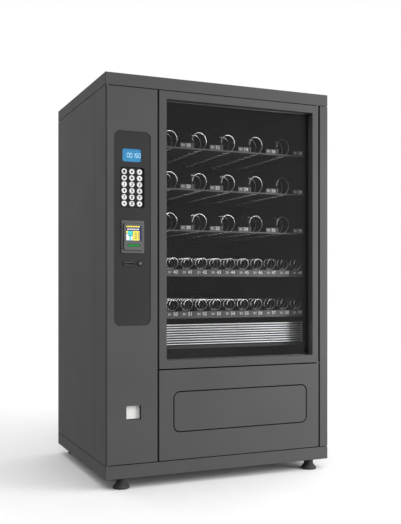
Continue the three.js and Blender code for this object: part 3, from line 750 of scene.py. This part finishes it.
def delivery_flap():
    rod = Box("flap_hinge_rod")
    axis = (middle(rod.y), middle(rod.z))
    barrel = grown(FLAP.x, -29 * MM)
    bm = bmesh.new()
    add_plate(bm, FLAP.front, (FLAP.y[0], FLAP.y[0] + SHEET), 27 * MM, 0.9 * MM, steps=12)
    stiffener_y = (FLAP.y[0] + 2.1 * MM, FLAP.y[1])
    add_block(bm, grown(FLAP.x, -30 * MM), stiffener_y, beside(FLAP.z[0], 4, 18), 1.5 * MM)
    knuckle = 40 * MM
    count = 4
    for index in range(count):
        start = barrel[0] + index * (size(barrel) - knuckle) / (count - 1)
        add_rod(bm, (start, start + knuckle), axis, 5 * MM, "x")
    make_piece("delivery_flap_shell", bm, [PAINT], "delivery_flap", ["delivery_flap"])


def doors():
    payment_door()
    window_door()
    delivery_panel()
    delivery_flap()
    refine("delivery_bin", INSIDE, "root", 0.5 * MM)
    for node in ("window_hinge_rod", "payment_hinge_rod"):
        dress(node, ZINC)


# ------------------------------------------------------------------ control panel

SCREEN = (READER.x[0] + 18.8 * MM, READER.x[1] - 14.5 * MM, READER.z[0] + 53.4 * MM, READER.z[1] - 22.5 * MM)
MOUTH = (READER.x[0] + 24.8 * MM, READER.x[1] - 21 * MM, *beside(READER.z[0], 29.2, 39.2))
COIN_SLIT = (*grown(COIN.x, -9 * MM), *grown(COIN.z, -4.5 * MM))
BUTTON = Box("coin_return_button")


def disc_rect(x, z, radius):
    return (x - radius, x + radius, z - radius, z + radius)


def control_plate():
    y = CONTROL.y
    through = solid_edge(HOLE, 0.6 * MM, y)
    button_hole = disc_rect(middle(BUTTON.x), middle(BUTTON.z), 11.6 * MM)
    bm = bmesh.new()
    add_slab(bm, [
        Contour(CONTROL.front, 36 * MM, solid_edge(OUTSIDE, 0.5 * MM, y)),
        Contour(DISPLAY_OPENING, 10 * MM, through),
        Contour(KEYPAD_OPENING, 12 * MM, through),
        Contour(inset(READER.front, 8 * MM), 1 * MM, through),
        Contour((*grown(COIN.x, -5 * MM), *grown(COIN.z, -2 * MM)), 1 * MM, through),
        Contour(button_hole, 11.6 * MM, through),
    ], steps=8)
    make_piece("control_panel_plate", bm, [DARK_PAINT], "payment_door", ["control_panel"])


# The bars lit in each digit: a to f run clockwise from the top bar, and g is the middle one.
SEVEN_SEGMENTS = {"0": "abcdef", "1": "bc", "2": "abged", "5": "afgcd"}


def add_segment_digit(bm, digit, x, y, z, height):
    """A seven-segment digit made of short bars, centred at x and z."""
    half = height / 2
    across = height * 0.27
    stroke = height * 0.055
    bars = {
        "a": ((-across, across), (half, half)), "d": ((-across, across), (-half, -half)),
        "g": ((-across, across), (0, 0)), "f": ((-across, -across), (0, half)),
        "b": ((across, across), (0, half)), "e": ((-across, -across), (-half, 0)),
        "c": ((across, across), (-half, 0)),
    }
    for segment in SEVEN_SEGMENTS[digit]:
        along_x, along_z = bars[segment]
        upright = size(along_x) == 0
        trim = stroke * 1.3
        span_x = grown(along_x, stroke) if upright else grown(along_x, -trim)
        span_z = grown(along_z, -trim) if upright else grown(along_z, stroke)
        rect = (x + span_x[0], x + span_x[1], z + span_z[0], z + span_z[1])
        add_plate(bm, rect, beside(y, 0, 0.2), 0.2 * MM, 0.08 * MM, steps=2)


def display():
    """The blue display: a rounded window with a price in pale digits, and its module behind."""
    front = DISPLAY.y[0]
    window = inset(DISPLAY_OPENING, -2 * MM)
    bm = bmesh.new()
    add_plate(bm, window, beside(front, 0, 2), 11 * MM, 0.4 * MM, steps=8)
    make_piece("display_window", bm, [LCD_BLUE], "payment_door", ["display"])

    bm = bmesh.new()
    digit_height = 18 * MM
    pitch = 13 * MM
    right = window[1] - 11 * MM
    z = middle(window[2:])
    for place, digit in enumerate("05100"):
        add_segment_digit(bm, digit, right - place * pitch, front - 0.15 * MM, z, digit_height)
    point = disc_rect(right - 1.5 * pitch, z - digit_height / 2, 1 * MM)
    add_plate(bm, point, beside(front, -0.15, 0.05), 0.9 * MM, 0.08 * MM, steps=3)
    make_piece("display_digits", bm, [LCD_DIGIT], "payment_door")

    bm = bmesh.new()
    add_block(bm, DISPLAY.x, (front + 2.2 * MM, DISPLAY.y[1]), DISPLAY.z, 1 * MM)
    make_piece("display_module", bm, [BLACK_PLASTIC], "payment_door")


def key_places():
    boxes = [Box(f"key_{number}") for number in range(1, 19)]
    return [(middle(box.x), middle(box.z)) for box in boxes]


def keypad():
    """The black surround with a sunk floor, and the keys that come up through its holes."""
    floor = KEYPAD.y[1] - 2 * MM
    bm = bmesh.new()
    holes = [Contour(disc_rect(x, z, 12.8 * MM), 12.8 * MM, solid_edge(HOLE, 0.4 * MM, (floor, KEYPAD.y[1])))
             for x, z in key_places()]
    recess = inset(KEYPAD_OPENING, -3 * MM)
    add_slab(bm, [Contour(recess, 13 * MM, solid_edge(OUTSIDE, 0.3 * MM, (floor, KEYPAD.y[1]))), *holes])
    wall = (KEYPAD.y[0], floor - 0.05 * MM)
    add_slab(bm, [
        Contour(KEYPAD.front, 15 * MM, solid_edge(OUTSIDE, 0.3 * MM, wall)),
        Contour(KEYPAD_OPENING, 12 * MM, solid_edge(HOLE, 0.3 * MM, wall)),
    ], steps=8)
    make_piece("keypad_surround", bm, [BLACK_PLASTIC], "payment_door", ["keypad_plate"])
    for number, (x, z) in enumerate(key_places(), start=1):
        key(number, x, z)


def add_mark(bm, sides, turn, x, y, z, radius, look):
    """A regular polygon as a raised mark: three sides for an arrow, many for a dot."""
    points = []
    for step in range(sides):
        angle = 2 * math.pi * step / sides + turn
        points.append((x + radius * math.cos(angle), z + radius * math.sin(angle)))
    rings = [[bm.verts.new((px, depth, pz)) for px, pz in points] for depth in beside(y, 0, 0.15)]
    bridge(bm, *rings, look)
    for ring in rings:
        bm.faces.new(ring).material_index = look


# The marks of the first six keys and of the two keys beside the 0: (sides, turn in radians).
SHAPE_KEYS = {
    1: (24, 0), 2: (4, math.pi / 4), 3: (3, math.pi / 2),
    4: (6, 0), 5: (4, 0), 6: (3, -math.pi / 2),
    16: (3, math.pi), 18: (3, 0),
}


def key(number, x, z):
    """A round white key with a shallow dish and a dark mark: 1 to 9 and 0 on the lower rows."""
    body = f"key_{number}"
    box = Box(body)
    front, back = box.y[0], size(box.y)
    radius, flange = 12 * MM, size(box.x) / 2
    dish = in_mm((0, 0.55), (6.5, 0.5), (9.2, 0.2), (10.4, 0), (11.3, 0.25), (11.8, 0.9))
    profile = [*dish, (radius, 1.8 * MM), (radius, back - 1.7 * MM), (flange, back - 1.7 * MM),
               (flange, back), (0, back)]
    bm = bmesh.new()
    add_turned(bm, profile, (x, front, z), "y", 36)
    mark_y = front + 0.4 * MM
    if number in SHAPE_KEYS:
        sides, turn = SHAPE_KEYS[number]
        add_mark(bm, sides, turn, x, mark_y, z, 6.6 * MM, 1)
    else:
        text = "0" if number == 17 else str(number - 6)
        add_digits(bm, text, 14.5 * MM, x, mark_y, z, 1, 0.07)
    make_piece(f"{body}_cap", bm, [KEY_WHITE, KEY_PRINT], body, [body], crease=50)


def screen_graphic():
    """Plain blocks of colour on the reader's screen, with no lettering."""
    yellow, teal, white, navy = range(4)
    x, z = SCREEN[:2], SCREEN[2:]
    y = READER.y[0] + 2.9 * MM

    def part(left, right, low, high):
        return (x[0] + left * size(x), x[0] + right * size(x), z[0] + low * size(z), z[0] + high * size(z))

    layers = {
        yellow: [part(0.03, 0.90, 0.90, 0.99), part(0.46, 0.88, 0.04, 0.66), part(0.03, 0.14, 0.52, 0.66)],
        teal: [part(0.14, 0.43, 0.36, 0.66), part(0.22, 0.34, 0.04, 0.30)],
        white: [part(0.03, 0.13, 0.04, 0.48), part(0.14, 0.22, 0.04, 0.34), part(0.34, 0.43, 0.04, 0.34),
            *[part(0.10 + 0.13 * dash, 0.19 + 0.13 * dash, 0.73, 0.81) for dash in range(6)]],
    }
    bm = bmesh.new()
    for look, rects in layers.items():
        for rect in rects:
            add_plate(bm, rect, beside(y, 0, 0.2), 0.3 * MM, 0.05 * MM, look, steps=2)
    strokes = [part(0.56, 0.72, low, low + 0.05) for low in (0.14, 0.26, 0.38, 0.50)]
    for rect in [part(0.80, 0.83, 0.12, 0.62), *strokes]:
        add_plate(bm, rect, beside(y, -0.2, -0.02), 0.2 * MM, 0.05 * MM, navy, steps=2)
    make_piece("reader_screen_graphic", bm, [SCREEN_YELLOW, SCREEN_TEAL, SCREEN_WHITE, SCREEN_NAVY],
               "payment_door")


def card_reader():
    """The reader: a thin flange, a raised block with a sunk screen and a lit mouth, and a housing."""
    face = READER.y[0]
    flange_y = beside(FACE_Y, -1.8, 2)
    block = (*grown(READER.x, -9 * MM), READER.z[0] + 12.5 * MM, READER.z[1] - 11 * MM)
    mouth_lip = solid_edge(HOLE, 0.8 * MM, (face, flange_y[0] - 0.05 * MM))
    bm = bmesh.new()
    add_slab(bm, [
        Contour(READER.front, 6 * MM, solid_edge(OUTSIDE, 1.3 * MM, flange_y)),
        Contour(MOUTH, 1 * MM, solid_edge(HOLE, 0.1 * MM, flange_y, 0.1 * MM)),
    ])
    add_slab(bm, [
        # The raised block's rounded edge and side walls are black plastic under a grey face: painted shade
        # for the shaded side of the block.
        Contour(block, 7 * MM, solid_edge(OUTSIDE, 1.2 * MM, (face, flange_y[0] - 0.05 * MM)), 1),
        Contour(SCREEN, 2 * MM, mouth_lip),
        Contour(MOUTH, 1 * MM, mouth_lip),
    ])
    make_piece("card_reader_bezel", bm, [GREY_PLASTIC, BLACK_PLASTIC], "payment_door",
               ["card_reader"])

    bm = bmesh.new()
    depth = (flange_y[1] + 0.1 * MM, READER.y[1])
    add_slab(bm, [
        Contour(inset(READER.front, 8.6 * MM), 3 * MM, solid_edge(OUTSIDE, 1 * MM, depth)),
        Contour(MOUTH, 1 * MM, solid_edge(HOLE, 0.2 * MM, depth)),
    ])
    make_piece("card_reader_housing", bm, [BLACK_PLASTIC], "payment_door")

    bm = bmesh.new()
    add_plate(bm, inset(SCREEN, -0.5 * MM), (face + 3.1 * MM, flange_y[0] - 0.1 * MM), 1 * MM, 0.3 * MM)
    make_piece("reader_screen", bm, [SCREEN_NAVY], "payment_door")
    screen_graphic()

    bm = bmesh.new()
    slit = 0.6 * MM
    centre = middle(MOUTH[2:])
    for z in ((MOUTH[2] + 1.8 * MM, centre - slit), (centre + slit, MOUTH[3] - 1.8 * MM)):
        add_plate(bm, (*grown(MOUTH[:2], -2 * MM), *z), beside(face, 1, 5), 0.5 * MM, 0.6 * MM)
    make_piece("card_mouth_light", bm, [LED_GREEN], "payment_door")


def coin_parts():
    """The coin slot with a bright rib above and below its slit, and the button beside it."""
    y = COIN.y
    plate = beside(y[0], 1.4, 3)
    bm = bmesh.new()
    add_slab(bm, [
        Contour(COIN.front, 4 * MM, solid_edge(OUTSIDE, 0.6 * MM, plate)),
        Contour(COIN_SLIT, 1 * MM, solid_edge(HOLE, 0.3 * MM, plate)),
    ])
    neck = (y[0] + 3.1 * MM, y[1])
    add_slab(bm, [
        Contour((*grown(COIN.x, -5.5 * MM), *grown(COIN.z, -2.5 * MM)), 1 * MM,
                solid_edge(OUTSIDE, 0.3 * MM, neck)),
        Contour(COIN_SLIT, 1 * MM, solid_edge(HOLE, 0.2 * MM, neck)),
    ])
    make_piece("coin_slot_body", bm, [BLACK_PLASTIC], "payment_door", ["coin_slot"])

    bm = bmesh.new()
    rib = beside(y[0], 0, 1.3)
    for z in grown(COIN.z, -1.2 * MM):
        add_block(bm, grown(COIN_SLIT[:2], 1 * MM), rib, grown((z, z), 1.1 * MM), 0.5 * MM)
    make_piece("coin_slot_ribs", bm, [GREY_PLASTIC], "payment_door")

    centre = (middle(BUTTON.x), BUTTON.y[0], middle(BUTTON.z))
    length = size(BUTTON.y)
    bm = bmesh.new()
    sleeve = in_mm((0, 1.5), (8.2, 1.5), (8.4, 0.6), (10, 0.4), (11, 1.4), (11, 8), (13, 8.3), (13, 10.2),
                   (5.5, 10.2))
    cap = in_mm((0, 0), (5.5, 0.1), (7.2, 0.5), (7.8, 1.4), (0, 1.4))
    # The sleeve is black plastic and shows as a dark ring round the grey cap: painted shade for the shade
    # round the button.
    add_turned(bm, [*sleeve, (5.5 * MM, length), (0, length)], centre, "y", 36, 1)
    add_turned(bm, cap, centre, "y", 36)
    make_piece("coin_return_button_cap", bm, [GREY_PLASTIC, BLACK_PLASTIC], "coin_return_button",
               ["coin_return_button"])


def coin_return():
    flap = Box("coin_return_flap")
    pivot_y, pivot_z = middle(flap.y), flap.z[1] - 3.2 * MM
    plate_x = grown(flap.x, -2.8 * MM)
    bm = bmesh.new()
    add_plate(bm, (*plate_x, flap.z[0], pivot_z), beside(pivot_y, -1, 2), 2 * MM, 0.8 * MM)
    add_rod(bm, plate_x, (pivot_y, pivot_z), 3.2 * MM, "x")
    add_rod(bm, flap.x, (pivot_y, pivot_z), 2 * MM, "x", 0.3 * MM)
    make_piece("coin_return_flap_plate", bm, [FLAP_WHITE], "coin_return_flap",
               ["coin_return_flap"])
    refine("coin_return_cup", BLACK_PLASTIC, "payment_door", 0.5 * MM)
    refine("coin_mechanism", GREY_PLASTIC, "payment_door", 1.2 * MM)


def control_area():
    control_plate()
    display()
    keypad()
    card_reader()
    coin_parts()
    coin_return()


# ------------------------------------------------------------------ product compartment

SNACK_COIL = {"radius": 42.2 * MM, "wire": 2.5 * MM, "pitch": 67 * MM}
CANDY_COIL = {"radius": 25.5 * MM, "wire": 2 * MM, "pitch": 38 * MM}
COIL_LENGTH = 555 * MM
SHAFT_LENGTH = 60 * MM


def snack_axis(tray):
    """The height of the spirals' axes on a wide-lane tray, as measured on the top one."""
    return middle(SPIRALS[0].z) - Box(SNACK_TRAYS[0]).z[0] + Box(tray).z[0]


def candy_axis(tray):
    return strip_span(tray)[1] + 28 * MM


def smoothstep(value, end):
    t = min(max(value / end, 0), 1)
    return t * t * (3 - 2 * t)


def spiral_points(x, z, coil, steps=36):
    """The path of one spiral: turns from the front at nine o'clock, then a run in to its shaft."""
    turns = COIL_LENGTH / coil["pitch"]
    points = []
    for step in range(round((turns + 1) * steps) + 1):
        turn = min(step / steps, turns + 1)
        past = max(0, turn - turns)
        inward = smoothstep(past, 0.45)
        angle = math.pi - 2 * math.pi * (min(turn, turns) + 0.4 * inward)
        radius = coil["radius"] * (1 - inward)
        y = SPIRAL_FRONT + min(turn, turns) * coil["pitch"] + past * SHAFT_LENGTH
        points.append((x + radius * math.cos(angle), y, z + radius * math.sin(angle)))
    return points


def spirals():
    """The spirals of every lane. Only those of the top row turn, each on its own body."""
    for row, tray in enumerate(SNACK_TRAYS + CANDY_TRAYS, start=1):
        wide = tray in SNACK_TRAYS
        lanes, coil = (SNACK_LANES, SNACK_COIL) if wide else (CANDY_LANES, CANDY_COIL)
        z = snack_axis(tray) if wide else candy_axis(tray)
        for lane, x in enumerate(lanes, start=1):
            bm = bmesh.new()
            add_wire(bm, spiral_points(x, z, coil), coil["wire"])
            body, replaced = (f"spiral_{lane}", [f"spiral_{lane}"]) if row == 1 else ("root", [])
            make_piece(f"spiral_row_{row}_lane_{lane}", bm, [STEEL], body, replaced, crease=60)


def strip_span(tray):
    """The bottom and top of a narrow-lane tray's label strip."""
    low = Box(tray).z[0]
    return (low, low + (34 * MM if tray == CANDY_TRAYS[0] else 33 * MM))


def motors(tray, lanes, height):
    """The gear motor behind each lane, on the back of the tray's motor plate."""
    box = Box(tray)
    back = box.y[1]
    width = 27 * MM if len(lanes) > 5 else 34 * MM
    bm = bmesh.new()
    for x in lanes:
        add_block(bm, grown((x, x), width), beside(back, -35, -3), beside(height, -30, 24), 2 * MM)
        add_rod(bm, beside(back, -3, 1), (x, height), 9 * MM, "y")
    make_piece(f"{tray}_motors", bm, [BLACK_PLASTIC], "root")


def strip_depth(tray):
    """How deep the strips clipped to a tray's front are, from their face to their back."""
    front = Box(tray).y[0]
    return beside(front, -1.5, -0.1)


def snack_tray(row, tray):
    """The rail, divider caps, labels, divider sheets and motors of a wide-lane tray."""
    bottom = Box(tray).z[0]
    y = strip_depth(tray)
    bm = bmesh.new()
    add_plate(bm, (TRAY_X[0], STRIP_END, bottom, bottom + 7 * MM), y, 0.6 * MM, 0.5 * MM)
    for x in SNACK_LANES[:-1]:
        add_plate(bm, (*beside(x + WALL_SHIFT, 0, 8), *beside(bottom, 7.2, 31.5)), y, 1 * MM, 0.5 * MM)
    make_piece(f"{tray}_rail", bm, [RAIL], "root")

    bm = bmesh.new()
    card_y = y[0] + 0.2 * MM
    for lane, x in enumerate(SNACK_LANES):
        label = (*beside(x, 40.4, 97.8), *beside(bottom, 7.3, 28.5))
        add_plate(bm, label, (card_y, y[1]), 1 * MM, 0.3 * MM)
        z = middle(label[2:])
        add_digits(bm, str(10 * row + 2 * lane), 16.5 * MM, x + 81 * MM, card_y - 0.1 * MM, z, 1)
        add_price_mark(bm, x + 55 * MM, card_y - 0.1 * MM, z)
    make_piece(f"{tray}_labels", bm, [LABEL, PRINT, PALE_PRINT], "root")

    walls = [x + WALL_SHIFT for x in SNACK_LANES[:-1]]
    lane_dividers(tray, walls, 8 * MM, bottom + 31.8 * MM, bottom + 79 * MM)
    motors(tray, SNACK_LANES, snack_axis(tray))


def add_price_mark(bm, x, y, z):
    """The small mark beside a lane number: three short lines and an upright stroke."""
    depth = beside(y, 0, 0.12)
    lines = [(*beside(x, -8, 1), *beside(z, shift - 1.1, shift + 1.1)) for shift in (-4, 0, 4)]
    for rect in [*lines, (*beside(x, 4, 6.2), *beside(z, -5, 5))]:
        add_plate(bm, rect, depth, 0.3 * MM, 0.05 * MM, 2, steps=2)


def candy_tray(row, tray):
    """The deep label strip of a narrow-lane tray, its cards, divider sheets and motors."""
    low, high = strip_span(tray)
    y = strip_depth(tray)
    bm = bmesh.new()
    add_plate(bm, (TRAY_X[0], STRIP_END, low, low + 7.5 * MM), y, 0.8 * MM, 0.6 * MM)
    add_plate(bm, (TRAY_X[0], STRIP_END, high - 1.6 * MM, high), y, 0.4 * MM, 0.4 * MM)
    make_piece(f"{tray}_rail", bm, [RAIL], "root")

    bm = bmesh.new()
    card_y = y[0] + 0.3 * MM
    for lane, x in enumerate(CANDY_LANES):
        edges = (x - 54 * MM, min(x - 54 * MM + CANDY_PITCH - 1.6 * MM, STRIP_END))
        label = (max(edges[0], TRAY_X[0]), edges[1], low + 7.8 * MM, high - 1.9 * MM)
        z = middle(label[2:])
        add_plate(bm, label, (card_y, y[1]), 0.8 * MM, 0.3 * MM)
        add_digits(bm, str(10 * row + lane), 16 * MM, x + 1 * MM, card_y - 0.1 * MM, z, 1)
        add_price_mark(bm, x - 28 * MM, card_y - 0.1 * MM, z)
    make_piece(f"{tray}_labels", bm, [LABEL, PRINT, PALE_PRINT], "root")

    walls = [x + CANDY_PITCH / 2 for x in CANDY_LANES[:-1]]
    lane_dividers(tray, walls, 42 * MM, high + 18.3 * MM, high + 50 * MM)
    motors(tray, CANDY_LANES, candy_axis(tray))


def lane_dividers(tray, places, setback, bottom, top):
    """The upper sheet of each lane divider: a dark plate with a sloped front corner."""
    slope = 14 * MM
    box = Box(tray)
    front, back = box.y[0] + setback, box.y[1] - 40 * MM
    bm = bmesh.new()
    for x in places:
        outline = [(front, bottom), (back, bottom), (back, top), (front + slope, top), (front, top - slope)]
        add_section(bm, outline, beside(x, 0, 1.5))
    make_piece(f"{tray}_dividers", bm, [INSIDE], "root")


def air_grille():
    """Nine rounded louvre blades between two end strips."""
    box = Box("air_grille")
    blades = 9
    pitch = size(box.z) / blades
    nose = 3.6 * MM
    bm = bmesh.new()
    for row in range(blades):
        centre = box.z[0] + (row + 0.5) * pitch
        path = [(box.y[0] + 0.6 * MM + nose * (1 - math.cos(angle)), centre + nose * math.sin(angle))
                for angle in [math.radians(-65 + 13 * step) for step in range(11)]]
        add_section(bm, sheet_outline(path, 0.8 * MM), grown(box.x, -1 * MM))
    for x in (beside(box.x[0], 0, 9), beside(box.x[1], -9, 0)):
        add_block(bm, x, beside(box.y[0], -1.2, 0.2), box.z, 0.5 * MM)
    make_piece("air_grille_blades", bm, [BRUSHED], "root", ["air_grille"], crease=60)


def light_bar():
    box = Box("light_bar")
    refine("light_bar", ZINC, "root", 0.6 * MM)
    bm = bmesh.new()
    tube = beside(box.z[0], 1, 3.5)
    add_block(bm, grown(box.x, -4 * MM), grown(box.y, -3 * MM), tube, 1 * MM)
    make_piece("light_bar_diffuser", bm, [LENS], "root")


def compartment():
    refine("compartment_liner", INSIDE, "root", 0.5 * MM)
    for row, tray in enumerate(SNACK_TRAYS + CANDY_TRAYS, start=1):
        refine(tray, INSIDE, "root", 0.3 * MM)
        if tray in SNACK_TRAYS:
            snack_tray(row, tray)
        else:
            candy_tray(row, tray)
    spirals()
    air_grille()
    light_bar()


# ------------------------------------------------------------------ studio

FLOOR_HALF = 6
DOME = (0.22, 1.20)
DOME_BRIGHT_SIDE = (0.55, 0.0, 1.0)


def add_light(name, kind, place, toward, power, **settings):
    light = bpy.data.lights.new(name, kind)
    light.energy = power
    for setting, value in settings.items():
        setattr(light, setting, value)
    holder = in_scene(name, light)
    holder.location = place
    holder.rotation_euler = toward.to_track_quat("-Z", "Y").to_euler()


def floor():
    """A pale floor that ends well outside the picture. It takes shadow and lights nothing itself."""
    bm = bmesh.new()
    bmesh.ops.create_grid(bm, x_segments=1, y_segments=1, size=FLOOR_HALF)
    mesh = bpy.data.meshes.new("floor")
    bm.to_mesh(mesh)
    bm.free()
    white = [(tone,) * 3 for tone in (0.81, 0.83)]
    mesh.materials.append(surface("floor_white", *white, (0.65, 0.75), 40, 0.0))
    plane = in_scene("floor", mesh)
    plane.location.z = -0.5 * MM
    plane.visible_diffuse = False
    plane.visible_glossy = False


def backdrop():
    """A white backdrop to look at. The dome that lights the scene is brightest above and to the right."""
    world = bpy.data.worlds.new("studio")
    world.use_nodes = True
    tree = world.node_tree
    dome = tree.nodes["Background"]
    toward = add_node(tree, "VectorMath")
    toward.operation = "DOT_PRODUCT"
    toward.inputs[1].default_value = Vector(DOME_BRIGHT_SIDE).normalized()
    tree.links.new(add_node(tree, "TexCoord").outputs["Generated"], toward.inputs[0])
    level = add_node(tree, "MapRange", Value=toward.outputs["Value"], From_Min=-0.7, From_Max=1.0,
                     To_Min=DOME[0], To_Max=DOME[1])
    tree.links.new(level.outputs["Result"], dome.inputs["Strength"])
    seen = add_node(tree, "Background")
    for background in (dome, seen):
        background.inputs["Color"].default_value = (1, 1, 1, 1)
    choice = add_node(tree, "MixShader", Fac=add_node(tree, "LightPath").outputs["Is Camera Ray"])
    tree.links.new(dome.outputs["Background"], choice.inputs[1])
    tree.links.new(seen.outputs["Background"], choice.inputs[2])
    tree.links.new(choice.outputs["Shader"], tree.nodes["World Output"].inputs["Surface"])
    bpy.context.scene.world = world


def studio():
    bpy.context.scene.view_settings.view_transform = "Standard"
    backdrop()
    floor()
    add_light("overhead", "SUN", (0, 0, 0), Vector((0.02, 0.45, -1.0)), 1.0, angle=math.radians(80))
    place, target = Vector((2.9, -2.6, 0.9)), Vector((0.4, -0.4, 0.8))
    add_light("right_fill", "AREA", place, target - place, 140, shape="RECTANGLE", size=1.8, size_y=2.4)


def camera():
    lens = bpy.data.cameras.new("camera")
    lens.lens = 55
    lens.sensor_width = 36
    lens.shift_y = 0.0410
    holder = in_scene("camera", lens)
    holder.location = (-1.558, -3.8023, 0.9063)
    holder.rotation_euler = (math.radians(90), 0, math.radians(-23.24))
    bpy.context.scene.camera = holder


cabinet()
doors()
control_area()
compartment()
studio()
camera()
